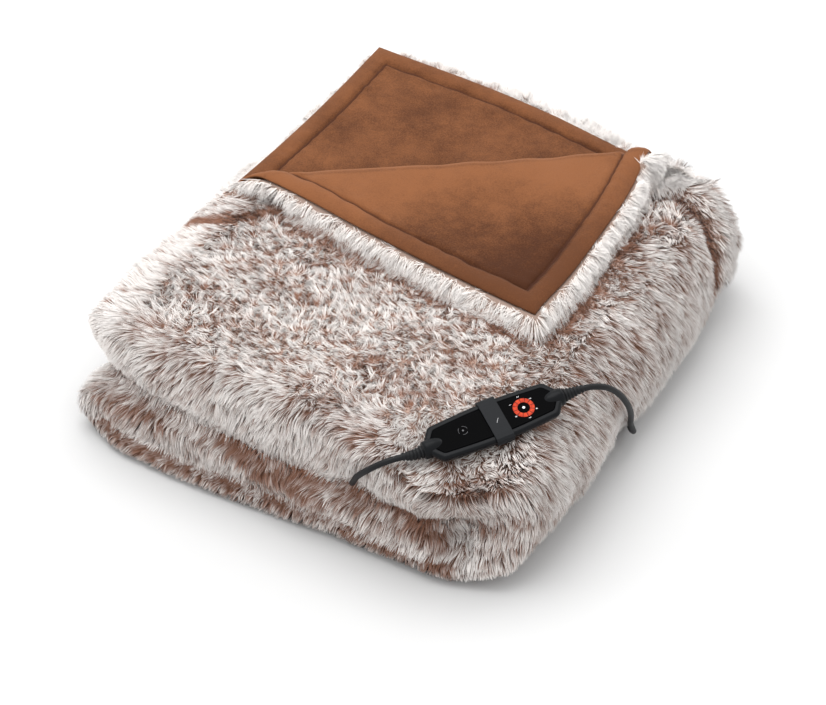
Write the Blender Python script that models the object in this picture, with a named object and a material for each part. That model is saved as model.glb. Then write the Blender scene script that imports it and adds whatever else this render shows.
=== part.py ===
"""Electric heated throw, folded into a bundle, with its hand control and mains lead.

Frame: metres, +Z up. The bundle stands on z = 0 with its middle at x = y = 0. Its three rounded
folds face -Y, its closed side with the long round wrap faces +X, and its turned-back corner is at
the back left.
"""
import math

import bmesh
import bpy
import numpy as np
from mathutils import Matrix, Vector
from mathutils.geometry import delaunay_2d_cdt

# Bundle
HEIGHT = 0.141           # of the flat top, to the tips of the pile
GAP = 0.0003             # between pieces that touch
NOSE_DEPTH = 0.52        # depth of a rounded front fold, in fold thicknesses
NOSE_ROUND = 2.7         # 2 is an ellipse, more is fuller
PLY_EDGE = 0.008         # depth of the round edge of one ply at the open sides
HEM_LINES = (0.046, 0.030, 0.013, 0.0)    # from the open back edge, the second is the stitch line
HEM_GROOVE = 0.0035      # depth of that stitch line
LUMP = 0.0026            # height of the soft unevenness of the pile
LOCK = 0.0024            # how far the locks of the pile stand out along an open edge
LOCK_PITCH = 0.026       # from one lock of the turned-back corner to the next

# Turned-back corner. Places along and across its ridge are measured from the ridge's left end.
RIDGE_START = (-0.194, -0.0285)
RIDGE_ANGLE = math.radians(35.0)
LINING = 0.0026          # thickness of the plush lining
CORNER_LEVEL = 0.1265    # mid height of the lining of the laid-open corner
CORNER_POINT = (0.1493, 0.2984)           # along and across the ridge
CORNER_ENDS = (-0.054, 0.439)             # its hems, along the ridge, where it goes under the loop
CORNER_CUT = (0.4402, 0.024)              # where its back hem draws in under the loop
TUCK_RADIUS = 0.0022     # of the hidden turn between the laid-open and the turned-back lining
LOOP_RADIUS = 0.0165     # of the soft loop at the ridge, at the lining's middle
LOOP_ENDS = (-0.050, 0.436)               # the hems, along the ridge, at the foot of the loop
CREST_ENDS = (0.003, 0.405)               # and at its crest
FLAP_POINT = (0.257, 0.246)
FLAP_LEVEL = 0.1560      # height of the lining where the turned-back corner lies flat
FLAP_SETTLE = 0.062      # distance over which the ridge sinks to that height
FUR_PLY = 0.0090         # thickness of the fur ply under the turned-back lining
FRINGE = 0.0085          # how far the pile stands out past the lining's edge
PRESS_FROM = 0.088       # the hand control presses only the pile above this height
PRESS_REACH = 0.115      # from its middle, over which the skin is made finer
PRESS_MARGIN = 0.014     # how far past its sides the pile lies fully pressed
PRESS_SLOPE = 0.45       # how steeply the pile rises from there
LINING_HEM = 0.024       # from the lining's edge to its stitch line
LINING_SEAM = 0.0009     # depth of that stitch line
CLOTH_PITCH = 0.042      # between the points of flat cloth

# Hand control, with its length along its own X and its face up its own Z
HANDSET_LENGTH = 0.1325
HANDSET_WIDTH = 0.0455
HANDSET_HEIGHT = 0.0150
HANDSET_MIDDLE = (0.1779, -0.2190, 0.1300)          # of its underside, which lies on the pile
HANDSET_TURN = math.radians(53.0)
HANDSET_PITCH = math.radians(7.3)         # the heat ring's end lies higher
HANDSET_ROLL = math.radians(14.7)         # and it leans to the front with the soft shoulder
END_WIDTH = 0.013        # of its blunt ends
END_TAPER = 0.0090       # length over which it narrows to them
WAIST = 0.0040           # how much narrower each side is there than at its middle
GLAND = (0.0135, 0.0066, 0.0078)          # half length, width and height of the domes over the lead ends
GLAND_PLACE = (0.0635, 0.0090)            # of their middles, along the control and up
GLAND_STEPS = (-80, -58, -36, -16, 0, 20)           # degrees along a dome, from its tip on the face
FACE_INSET = 0.0057      # from the rim to the glossy face
FACE_DEPTH = 0.0012      # of the recess that holds the face
SWITCH_LENGTH = 0.017    # of the sliding switch, along the control
SWITCH_WALL = 0.0012
SWITCH_PLACE = 0.0016    # of its middle position, from the control's middle
SWITCH_TRAVEL = 0.004    # each way from the middle
STEM = (0.006, 0.012, 0.0040)             # of the switch, in its slot
RING_PLACE = 0.0301      # of the heat ring's middle, from the control's middle
RING_OUTER = 0.0101
RING_INNER = 0.0056
RING_RISE = 0.0004

# Leads, coil and plug
CORD = 0.006
FLOOR_CORD = CORD / 2 + 0.0003            # height of a lead's middle where it lies on the surface
HANGING = 0.24           # of a lead from its relief, with closer points
HANGING_PITCH = 0.006
LYING_PITCH = 0.020
RELIEF_LENGTH = 0.023
RELIEF_RADIUS = 0.0062
BLANKET_LEAD = ((0.1384, -0.2752, 0.1300), (0.1318, -0.2839, 0.1286), (0.1251, -0.2920, 0.1295),
                (0.1172, -0.3007, 0.1287), (0.1085, -0.3070, 0.1243), (0.0995, -0.3090, 0.1162),
                (0.0862, -0.3062, 0.1002), (0.0781, -0.2998, 0.0851), (0.0734, -0.2944, 0.0769))
MAINS_LEAD = ((0.2197, -0.1673, 0.1473), (0.2263, -0.1586, 0.1487), (0.2336, -0.1508, 0.1507),
              (0.2393, -0.1439, 0.1500), (0.2462, -0.1347, 0.1461), (0.2511, -0.1248, 0.1376),
              (0.2553, -0.1149, 0.1255), (0.2575, -0.1044, 0.1100), (0.2566, -0.0921, 0.0919),
              (0.2530, -0.0783, 0.0712), (0.2475, -0.0643, 0.0485), (0.2446, -0.0482, 0.0255),
              (0.2328, -0.0284, 0.0109), (0.2214, -0.0035, 0.0040), (0.2164, 0.0255, FLOOR_CORD),
              (0.2165, 0.0750, FLOOR_CORD), (0.2150, 0.1300, FLOOR_CORD), (0.2070, 0.1950, FLOOR_CORD),
              (0.1990, 0.2450, FLOOR_CORD), (0.1860, 0.2880, FLOOR_CORD), (0.1590, 0.3150, FLOOR_CORD),
              (0.1250, 0.3252, FLOOR_CORD), (0.0850, 0.3262, FLOOR_CORD), (0.0450, 0.3262, FLOOR_CORD),
              (0.0025, 0.3262, FLOOR_CORD))
COIL_MIDDLE = (0.0, 0.3720)
COIL_RADIUS = 0.0330     # at the middle of its turns
COIL_SIZE = (0.0190, 0.0190)              # width and height of the bundle of turns
PLUG_START = (0.0384, 0.3977)
PLUG_TURN = math.radians(-25.0)

# Every row is one station of the long fold line, followed from its hidden inner end: the middle
# fold runs left, turns down into the bottom fold, which runs right, wraps up around the closed side
# and ends as the top fold at the open left side.
#  outer x, outer z, inner x, inner z, front y, back y, steps to the next row
FOLDS = (
    (0.166, 0.0465, 0.166, 0.0385, -0.284, 0.270, 1),
    (0.154, 0.0520, 0.154, 0.0350, -0.292, 0.280, 3),
    (0.062, 0.0665, 0.062, 0.0290, -0.300, 0.290, 3),
    (-0.103, 0.0680, -0.103, 0.0285, -0.298, 0.298, 3),
    (-0.200, 0.0675, -0.200, 0.0285, -0.291, 0.302, 1),
    (-0.234, 0.0590, -0.2120, 0.0282, -0.284, 0.298, 1),
    (-0.250, 0.0380, -0.2150, 0.0273, -0.281, 0.296, 1),
    (-0.247, 0.0160, -0.2140, 0.0262, -0.283, 0.298, 1),
    (-0.226, 0.0020, -0.2050, 0.0256, -0.290, 0.302, 1),
    (-0.190, 0.0000, -0.1900, 0.0255, -0.298, 0.304, 3),
    (-0.083, 0.0000, -0.0830, 0.0255, -0.307, 0.302, 3),
    (0.057, 0.0000, 0.0570, 0.0255, -0.305, 0.296, 3),
    (0.137, 0.0000, 0.1370, 0.0310, -0.303, 0.288, 1),
    (0.181, 0.0000, 0.1610, 0.0345, -0.302, 0.280, 1),
    (0.227, 0.0120, 0.1690, 0.0380, -0.292, 0.268, 1),
    (0.246, 0.0420, 0.1710, 0.0420, -0.277, 0.250, 1),
    (0.250, 0.0780, 0.1700, 0.0460, -0.268, 0.240, 1),
    (0.238, 0.1120, 0.1650, 0.0500, -0.273, 0.242, 1),
    (0.212, 0.1320, 0.1550, 0.0540, -0.289, 0.254, 1),
    (0.170, 0.1400, 0.1370, 0.0590, -0.303, 0.262, 3),
    (0.087, 0.1410, 0.0870, 0.0690, -0.300, 0.266, 4),
    (-0.013, 0.1410, -0.0130, 0.0705, -0.292, 0.281, 5),
    (-0.133, 0.1410, -0.1330, 0.0705, -0.283, 0.297, 4),
    (-0.206, 0.1410, -0.2060, 0.0700, -0.274, 0.305, 1),
    (-0.220, 0.1372, -0.2200, 0.0705, -0.270, 0.306, 1),
    (-0.234, 0.1400, -0.2340, 0.0715, -0.265, 0.306, 1),
    (-0.250, 0.1320, -0.2500, 0.0760, -0.257, 0.303, 0),
)
WRAP_ROW = 14            # first row whose outer side shows at the closed side
# Heights over a fold's thickness, -1 inside to 1 outside, with a cusp between plies at each third
LEVELS = (-1.0, -0.94, -0.8, -0.6, -0.42, -1 / 3, -0.2, 0.0, 0.2, 1 / 3, 0.42, 0.6, 0.8, 0.94, 1.0)
# Places along a fold, from its front fold to the hem at its open back edge
ALONG = (0.0, 0.045, 0.10, 0.17, 0.25, 0.33, 0.41, 0.49, 0.57, 0.65, 0.73, 0.81, 0.89, 0.955)


def clear_scene():
    for old in list(bpy.data.objects):
        bpy.data.objects.remove(old, do_unlink=True)


def material(name, colour, roughness, metallic=0.0):
    made = bpy.data.materials.new(name)
    made.use_nodes = True
    shader = made.node_tree.nodes["Principled BSDF"]
    shader.inputs["Base Color"].default_value = (*colour, 1.0)
    shader.inputs["Roughness"].default_value = roughness
    shader.inputs["Metallic"].default_value = metallic
    return made


def mesh_object(name, points, faces, finish):
    mesh = bpy.data.meshes.new(name)
    mesh.from_pydata([tuple(float(c) for c in p) for p in points], [], [list(map(int, f)) for f in faces])
    mesh.materials.append(finish)
    made = bpy.data.objects.new(name, mesh)
    bpy.context.collection.objects.link(made)
    return made


def smooth_rows(rows, steps):
    """Rows of a table carried on as one smooth curve, with the given steps between rows."""
    rows = np.asarray(rows, float)
    padded = np.vstack([2 * rows[0] - rows[1], rows, 2 * rows[-1] - rows[-2]])
    made = []
    for i, count in enumerate(steps[:-1]):
        a, b, c, d = padded[i:i + 4]
        for t in np.arange(count) / count:
            made.append(0.5 * (2 * b + (c - a) * t + (2 * a - 5 * b + 4 * c - d) * t ** 2
                               + (3 * b - a - 3 * c + d) * t ** 3))
    made.append(rows[-1])
    return np.array(made)


def lumps(x, y):
    """Soft unevenness of the stuffed folds, between about -1 and 1."""
    return (0.45 * np.sin(31 * x + 17 * y + 0.4) + 0.35 * np.sin(-23 * x + 41 * y + 1.9)
            + 0.30 * np.sin(57 * x + 29 * y + 4.1))


def settle(points):
    """Sag and bulge of the whole bundle: heights scale a little, and the edges wander."""
    x, y, z = np.array(points, float).T
    height = z / HEIGHT
    z = z * (1 + 0.018 * np.sin(9 * x + 5 * y + 0.6) + 0.014 * np.sin(-7 * x + 13 * y + 2.2))
    y = y + 0.0035 * np.sin(15 * x + 9 * height + 0.5)
    x = x + 0.0030 * np.sin(12 * y + 5 * height + 1.1)
    side = np.clip(x / 0.2, 0, 1)
    x = x - side * (0.008 * np.exp(-((y + 0.075) / 0.045) ** 2) + 0.024 * np.clip((y - 0.10) / 0.17, 0, 1) ** 2)
    return np.stack([x, y, z], axis=1)


def ply_edge(level):
    """How far the edge of a stack of three plies draws back at each level, as three round rims."""
    within = np.abs(((level + 1) * 1.5) % 1.0 * 2 - 1)
    within = np.where(np.abs(level) > 0.999, 1.0, within)
    return PLY_EDGE * (1 - np.sqrt(np.clip(1 - within ** 2, 0, 1)))


def fold_stations():
    """Smooth stations along the fold line, and how much of each one's outer side is the show side."""
    table = np.array(FOLDS)
    shown = np.array([1.0 if i >= WRAP_ROW else 0.0 for i in range(len(table))])
    rows = smooth_rows(np.column_stack([table[:, :6], shown]), table[:, 6].astype(int))
    rows[:, 1] = np.maximum(rows[:, 1], 0.0)
    return rows[:, :6], np.clip(rows[:, 6], 0, 1)


def fold_points():
    """Points of every station on a grid of levels and places along the fold."""
    rows, shown = fold_stations()
    level = np.array(LEVELS)[None, :, None]
    outer_x, outer_z, inner_x, inner_z, front, back = (rows[:, i][:, None, None] for i in range(6))
    thick = np.hypot(outer_x - inner_x, outer_z - inner_z)
    round_off = np.clip(1 - np.abs(level) ** NOSE_ROUND, 0, 1) ** (1 / NOSE_ROUND)
    front = front + NOSE_DEPTH * thick * (1 - round_off)
    inside = back - HEM_LINES[0]
    body = front + (inside - front) * np.array(ALONG)[None, None, :]
    hem = back - np.array(HEM_LINES)[None, None, :] + 0 * front
    y = np.concatenate([body, hem], axis=2)
    turn = np.arange(len(rows))[:, None] * math.pi / 2
    y[:, :, -1] -= ply_edge(level[:, :, 0]) - LOCK * np.sin(turn + 4 * level[:, :, 0])
    x = inner_x + (outer_x - inner_x) * (1 + level) / 2 + 0 * y
    z = inner_z + (outer_z - inner_z) * (1 + level) / 2 + 0 * y
    x[-1] += ply_edge(level[0]) - LOCK * np.sin(np.arange(y.shape[2]) * math.pi / 2 + 4 * level[0])
    swell = LUMP * lumps(x, y)
    stitch = len(ALONG) + 1
    swell[:, :, stitch] -= HEM_GROOVE
    swell *= shown[:, None, None] * np.clip(level * 2 - 1, 0, 1)
    x = x + swell * (outer_x - inner_x) / thick
    z = z + swell * (outer_z - inner_z) / thick
    return np.stack([x, y, z], axis=3)


def bundle_object(finish):
    """The folds as one closed skin: the rim of every station, and both end sections."""
    grid = fold_points()
    stations, levels, places = grid.shape[:3]
    rim = ([(levels - 1, j) for j in range(places)]
           + [(k, places - 1) for k in range(levels - 2, -1, -1)]
           + [(0, j) for j in range(places - 2, -1, -1)]
           + [(k, 0) for k in range(1, levels - 1)])
    number = -np.ones((stations, levels, places), int)
    for k, j in rim:
        number[:, k, j] = 0
    number[0] = 0
    number[-1] = 0
    used = number == 0
    number[used] = np.arange(used.sum())
    faces = []
    for i in range(stations - 1):
        for a, b in zip(rim, rim[1:] + rim[:1]):
            faces.append((number[i][a], number[i][b], number[i + 1][b], number[i + 1][a]))
    for k in range(levels - 1):
        for j in range(places - 1):
            square = ((k, j), (k, j + 1), (k + 1, j + 1), (k + 1, j))
            faces.append([number[0][q] for q in square])
            faces.append([number[-1][q] for q in reversed(square)])
    made = mesh_object("blanket_fur", settle(grid[used]), faces, finish)
    outward(made)
    return made


def outward(made):
    """Triangles with their faces pointing out."""
    work = bmesh.new()
    work.from_mesh(made.data)
    bmesh.ops.triangulate(work, faces=work.faces)
    bmesh.ops.recalc_face_normals(work, faces=work.faces)
    work.to_mesh(made.data)
    work.free()


def on_ridge(along, across):
    """Plan place of a point measured along and across the ridge of the turned-back corner."""
    c, s = math.cos(RIDGE_ANGLE), math.sin(RIDGE_ANGLE)
    return RIDGE_START[0] + along * c - across * s, RIDGE_START[1] + along * s + across * c


LOOP_FOOT = -math.pi * LOOP_RADIUS
TUCK_END = LOOP_FOOT - math.pi * TUCK_RADIUS
LOOP_LOW = CORNER_LEVEL + 2 * TUCK_RADIUS
LOOP_MIDDLE = LOOP_LOW + LOOP_RADIUS


def flap_height(along, run):
    """Mid height of the turned-back lining, which sinks from the crest and lies in soft waves."""
    crest = LOOP_MIDDLE + LOOP_RADIUS
    wave = 0.0022 * np.sin(24 * along - 11 * run + 0.7) * np.clip(run / 0.05, 0, 1)
    return FLAP_LEVEL + (crest - FLAP_LEVEL) * np.exp(-(run / FLAP_SETTLE) ** 2) + wave


def cloth_point(along, run, lift, tucked):
    """A point of the corner's cloth. run is the way over the cloth from the crest, positive on the
    turned-back side; below the loop the lining turns under it (tucked), the fur ply goes straight on.
    lift is the height over the lining's middle, on its show side."""
    along, run, lift = np.broadcast_arrays(along, run, np.asarray(lift, float))
    turn = np.clip(-run / LOOP_RADIUS, 0, math.pi)
    across = LOOP_RADIUS * np.sin(turn) - np.clip(run, 0, None)
    height = np.where(run > 0, flap_height(along, run), LOOP_MIDDLE + LOOP_RADIUS * np.cos(turn))
    out_across, out_up = np.sin(turn), np.cos(turn)
    if tucked:
        under = np.clip((LOOP_FOOT - run) / TUCK_RADIUS, 0, math.pi)
        below = run < LOOP_FOOT
        across = np.where(below, -TUCK_RADIUS * np.sin(under) + np.clip(TUCK_END - run, 0, None), across)
        height = np.where(below, LOOP_LOW - TUCK_RADIUS * (1 - np.cos(under)), height)
        out_across = np.where(below, np.sin(under), out_across)
        out_up = np.where(below, -np.cos(under), out_up)
    else:
        across = across + np.minimum(run - LOOP_FOOT, 0)
    x, y = on_ridge(along, across + lift * out_across)
    return np.stack([x, y, height + lift * out_up], axis=-1)


def inset(outline, width):
    """The outline of a convex piece of cloth moved in by width, or out where width is negative."""
    points = np.array(outline, float)
    step = np.roll(points, -1, axis=0) - points
    step /= np.linalg.norm(step, axis=1)[:, None]
    inward = np.stack([-step[:, 1], step[:, 0]], axis=1)
    made = []
    for i in range(len(points)):
        a, b = points[i - 1] + width * inward[i - 1], points[i] + width * inward[i]
        t = np.linalg.solve(np.column_stack([step[i - 1], -step[i]]), b - a)
        made.append(a + t[0] * step[i - 1])
    return np.array(made)


def edge_distance(points, outline):
    """Distance inward from the nearest edge of a convex outline that runs counterclockwise."""
    points, outline = np.asarray(points, float), np.asarray(outline, float)
    nearest = np.full(len(points), 9.0)
    for a, b in zip(outline, np.roll(outline, -1, axis=0)):
        way = (b - a) / np.linalg.norm(b - a)
        nearest = np.minimum(nearest, way[0] * (points[:, 1] - a[1]) - way[1] * (points[:, 0] - a[0]))
    return nearest


def cut_cloth(outline, seams, rows, pitch, rim_pitch=CLOTH_PITCH):
    """A flat piece of cloth as triangles that follow its outline, its seams and its cross rows."""
    points, edges = [], []

    def chain(line):
        first = len(points)
        points.extend(line)
        edges.extend((first + i, first + i + 1) for i in range(len(line) - 1))

    for width in (0.0, *seams):
        moved = inset(outline, width)
        for a, b in zip(moved, np.roll(moved, -1, axis=0)):
            parts = max(1, round(np.linalg.norm(b - a) / (pitch if width else rim_pitch)))
            chain([tuple(a + (b - a) * k / parts) for k in range(parts + 1)])
    low, high = np.min(outline, axis=0), np.max(outline, axis=0)
    places = np.arange(low[0] - pitch, high[0] + 2 * pitch, pitch)
    for row in rows:
        chain([(x, row) for x in places])
    found = delaunay_2d_cdt([Vector(p) for p in points], edges, [], 0, 1e-6)
    flat = np.array([tuple(p) for p in found[0]])
    triangles = np.array([f for f in found[2]])
    middle = flat[triangles].mean(axis=1)
    triangles = triangles[edge_distance(middle, outline) > 0]
    keep, triangles = np.unique(triangles, return_inverse=True)
    return flat[keep], triangles.reshape(-1, 3)


def two_sided(name, upper, lower, triangles, finish):
    """A closed sheet from its two faces, which share one set of triangles."""
    count = len(upper)
    sides = {}
    for a, b, c in triangles:
        for edge in ((a, b), (b, c), (c, a)):
            sides[edge] = True
    rim = [edge for edge in sides if (edge[1], edge[0]) not in sides]
    faces = [tuple(t) for t in triangles] + [tuple(t[::-1] + count) for t in triangles]
    faces += [(b, a, a + count, b + count) for a, b in rim]
    made = mesh_object(name, np.vstack([upper, lower]), faces, finish)
    outward(made)
    return made


def lining_outline():
    """The whole corner piece of the lining, laid flat: along the ridge, and over the cloth."""
    return np.array([
        (CORNER_POINT[0], TUCK_END - CORNER_POINT[1]),
        (CORNER_CUT[0], TUCK_END - CORNER_CUT[1]), (CORNER_ENDS[1], TUCK_END),
        (LOOP_ENDS[1], LOOP_FOOT), (CREST_ENDS[1], 0.0), FLAP_POINT, (CREST_ENDS[0], 0.0),
        (LOOP_ENDS[0], LOOP_FOOT), (CORNER_ENDS[0], TUCK_END)])


LOOP_ROWS = tuple(LOOP_FOOT * k / 11 for k in range(12))
FLAP_ROWS = (0.012, 0.024, 0.040, 0.065, 0.10, 0.14, 0.18, 0.215)
CORNER_ROWS = (0.004, 0.02, 0.05, 0.09, 0.14, 0.19, 0.24)
TUCK_ROWS = tuple(LOOP_FOOT + (TUCK_END - LOOP_FOOT) * k / 6 for k in range(1, 7))


def lining_object(finish):
    outline = lining_outline()
    seam = 0.002
    seams = (0.0012, LINING_HEM - seam, LINING_HEM, LINING_HEM + seam)
    rows = (*LOOP_ROWS, *TUCK_ROWS, *FLAP_ROWS,
            *(TUCK_END - way for way in CORNER_ROWS))
    flat, triangles = cut_cloth(outline, seams, rows, CLOTH_PITCH)
    inward = edge_distance(flat, outline)
    groove = LINING_SEAM * np.clip(1 - np.abs(inward - LINING_HEM) / seam, 0, 1)
    rim = 0.35 * LINING * np.clip(1 - inward / 0.0012, 0, 1)
    flat_part = np.where((flat[:, 1] < LOOP_FOOT + 0.004) & (flat[:, 1] > TUCK_END - 0.004), 0.0, 1.0)
    upper = cloth_point(flat[:, 0], flat[:, 1], LINING / 2 - groove * flat_part - rim, True)
    lower = cloth_point(flat[:, 0], flat[:, 1], -LINING / 2, True)
    return two_sided("blanket_lining", settle(upper), settle(lower), triangles, finish)


FUR_ROOT = LOOP_FOOT - 0.024


def flap_object(finish):
    """The fur ply of the turned-back corner with its loop, which joins the top fold at its root."""
    lining = lining_outline()
    ply = np.array([(LOOP_ENDS[0] + 0.014, FUR_ROOT), (LOOP_ENDS[1] - 0.004, FUR_ROOT),
                    lining[3], lining[4], lining[5], lining[6], lining[7]])
    outline = inset(ply, -FRINGE)
    rim = FRINGE - GAP
    seams = (0.0025, 0.0055, rim - 0.0004, rim)
    rows = (*LOOP_ROWS, FUR_ROOT + 0.008, *FLAP_ROWS)
    flat, triangles = cut_cloth(outline, seams, rows, CLOTH_PITCH, LOCK_PITCH / 2)
    inward = edge_distance(flat, outline)
    under = -LINING / 2 - 3 * GAP
    middle = under - FUR_PLY / 2 + 0.001
    round_edge = np.sqrt(np.clip(1 - (1 - np.clip(inward / 0.0055, 0, 1)) ** 2, 0.01, 1))
    proud = np.clip((flat[:, 1] - LOOP_FOOT - 0.008) / 0.008, 0, 1)
    rim_top = under + (LINING / 2 - 0.0004 - under) * proud
    top = np.where(inward > rim - 1e-5, under, middle + (rim_top - middle) * round_edge)
    low = middle + (under - FUR_PLY - middle) * round_edge
    root = np.clip((LOOP_FOOT - flat[:, 1]) / 0.012, 0, 1)
    way = flat - outline.mean(axis=0)
    lock = np.sin(2 * math.pi * (way[:, 0] - 0.7 * way[:, 1]) / LOCK_PITCH) * (inward < 1e-5) * (flat[:, 1] > 0)
    flat = flat + way * (LOCK * lock / np.linalg.norm(way, axis=1))[:, None]
    low = low + 0.0022 * root * round_edge
    upper = cloth_point(flat[:, 0], flat[:, 1], top - 0.0006 * root * round_edge, False)
    lower = cloth_point(flat[:, 0], flat[:, 1], low, False)
    return two_sided("turned_fur", settle(upper), settle(lower), triangles, finish)


def prism(name, outline, low, high, finish):
    """A cutter that stands on a plan outline."""
    count = len(outline)
    points = [(x, y, low) for x, y in outline] + [(x, y, high) for x, y in outline]
    faces = [tuple(range(count))[::-1], tuple(range(count, 2 * count))]
    faces += [(i, (i + 1) % count, count + (i + 1) % count, count + i) for i in range(count)]
    made = mesh_object(name, points, faces, finish)
    made.hide_render = True
    made.display_type = "WIRE"
    outward(made)
    return made


def boolean(target, other, operation):
    step = target.modifiers.new(operation.title(), "BOOLEAN")
    step.operation = operation
    step.solver = "EXACT"
    step.object = other


def apply_modifiers(made):
    """Leaves the evaluated shape as the object's own mesh."""
    graph = bpy.context.evaluated_depsgraph_get()
    mesh = bpy.data.meshes.new_from_object(made.evaluated_get(graph))
    made.modifiers.clear()
    made.data = mesh


def remove(made):
    bpy.data.objects.remove(made, do_unlink=True)


def corner_cutter(name, outline, rows, floor, finish):
    """A cutter that opens the pile over the laid-open corner, down to a floor that settles with it."""
    flat, triangles = cut_cloth(outline, (), (*rows, *CORNER_ROWS), CLOTH_PITCH)
    x, y = on_ridge(flat[:, 0], flat[:, 1])
    low = settle(np.column_stack([x, y, np.full(len(x), floor)]))
    high = low + (0, 0, 0.2)
    return two_sided(name, high, low, triangles, finish)


def fur_object(finish):
    """The folded fur cloth: the folds, opened at the corner, with the turned-back corner on top."""
    made = bundle_object(finish)
    step_at = -0.0075
    wide = np.array([(-0.13, step_at), (0.56, step_at), (0.56, 0.37), (-0.13, 0.37)])
    shelf = corner_cutter("open_corner", wide, (), CORNER_LEVEL + LINING / 2 + 0.0008, finish)
    lining = lining_outline()[[8, 2, 1, 0]] * (1, -1) + (0, TUCK_END)
    left, right, cut, point = inset(lining, -0.0006)
    under = np.array([(left[0], step_at + 0.001), (right[0], step_at + 0.001), right, cut, point, left])
    seat = corner_cutter("lining_seat", under, (step_at + 0.0025,), CORNER_LEVEL - LINING / 2 - 2 * GAP, finish)
    flap = flap_object(finish)
    for cutter in (shelf, seat):
        boolean(made, cutter, "DIFFERENCE")
    boolean(made, flap, "UNION")
    apply_modifiers(made)
    for extra in (shelf, seat, flap):
        remove(extra)
    return made


def press_pile(made):
    """Presses the pile flat under the hand control, on a finer patch of its skin."""
    frame = np.array(control_frame())
    work = bmesh.new()
    work.from_mesh(made.data)
    for _ in range(2):
        patch = [edge for edge in work.edges if all(
            vert.co.z > PRESS_FROM and (vert.co - Vector(HANDSET_MIDDLE)).length < PRESS_REACH
            for vert in edge.verts) and edge.calc_length() > 0.018]
        bmesh.ops.subdivide_edges(work, edges=patch, cuts=1)
        bmesh.ops.triangulate(work, faces=work.faces)
    points = np.array([tuple(vert.co) for vert in work.verts])
    away = (points - HANDSET_MIDDLE) @ frame[:3, :3]
    outside = np.maximum(np.abs(away[:, 0]) - HANDSET_LENGTH / 2, np.abs(away[:, 1]) - HANDSET_WIDTH / 2)
    lower = away[:, 2] + GAP - PRESS_SLOPE * np.clip(outside - PRESS_MARGIN, 0, None)
    points[:, 2] -= np.where(points[:, 2] > PRESS_FROM, np.clip(lower, 0, None) / frame[2, 2], 0)
    for vert, place in zip(work.verts, points):
        vert.co = place
    work.to_mesh(made.data)
    work.free()


def stack(name, outlines, heights, finish):
    """A closed body from one outline at each height, bottom to top."""
    count = len(outlines[0])
    points = [(x, y, z) for outline, z in zip(outlines, heights) for x, y in outline]
    faces = [tuple(range(count))[::-1]]
    for k in range(len(heights) - 1):
        low, high = k * count, (k + 1) * count
        faces += [(low + i, low + (i + 1) % count, high + (i + 1) % count, high + i) for i in range(count)]
    faces.append(tuple(range((len(heights) - 1) * count, len(heights) * count)))
    return mesh_object(name, points, faces, finish)


def control_outline(width_in):
    """The long eight-sided outline of the hand control with eased corners, moved in by a width."""
    x, y = HANDSET_LENGTH / 2, HANDSET_WIDTH / 2
    corners = np.array([(x, END_WIDTH / 2), (x - END_TAPER, y - WAIST), (0, y), (-x + END_TAPER, y - WAIST),
                        (-x, END_WIDTH / 2), (-x, -END_WIDTH / 2), (-x + END_TAPER, -y + WAIST), (0, -y),
                        (x - END_TAPER, -y + WAIST), (x, -END_WIDTH / 2)])
    eased = []
    for before, corner, after in zip(np.roll(corners, 1, axis=0), corners, np.roll(corners, -1, axis=0)):
        reach = 0.003 if abs(corner[0]) > 0.001 else 0.03
        start = corner + (before - corner) * reach / np.linalg.norm(before - corner)
        end = corner + (after - corner) * reach / np.linalg.norm(after - corner)
        for t in (0.0, 0.5, 1.0):
            eased.append((1 - t) ** 2 * start + 2 * t * (1 - t) * corner + t ** 2 * end)
    return inset(eased, width_in)


def control_frame():
    """The place of the hand control on the bundle."""
    return (Matrix.Translation(HANDSET_MIDDLE) @ Matrix.Rotation(HANDSET_TURN, 4, "Z")
            @ Matrix.Rotation(-HANDSET_PITCH, 4, "Y") @ Matrix.Rotation(HANDSET_ROLL, 4, "X"))


def place_control_piece(made, shift=0.0):
    """Puts a piece, modelled at the origin of the hand control, on the bundle."""
    made.matrix_world = control_frame() @ Matrix.Translation((shift, 0, 0))
    return made


def box_cutter(name, size, middle, finish):
    x, y = size[0] / 2, size[1] / 2
    outline = [(-x, -y), (x, -y), (x, y), (-x, y)]
    made = prism(name, [(middle[0] + a, middle[1] + b) for a, b in outline],
                 middle[2] - size[2] / 2, middle[2] + size[2] / 2, finish)
    return made


def slot_size(extra):
    return STEM[0] + 2 * SWITCH_TRAVEL + 2 * extra, STEM[1] + 2 * extra


def gland_dome(name, side, grow, finish):
    """The dome over a lead's end, from its round tip on the face to its flat end at the relief."""
    half, wide, tall = (size + grow for size in GLAND)
    steps = [math.radians(step) for step in GLAND_STEPS]
    made = turned(name, [(math.cos(a), math.sin(a)) for a in steps], 20, finish)
    made.data.transform(Matrix.Translation((side * GLAND_PLACE[0], 0, GLAND_PLACE[1]))
                        @ Matrix.Diagonal((half, wide, tall, 1)) @ Matrix.Rotation(side * math.pi / 2, 4, "Y"))
    outward(made)
    return made


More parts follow.
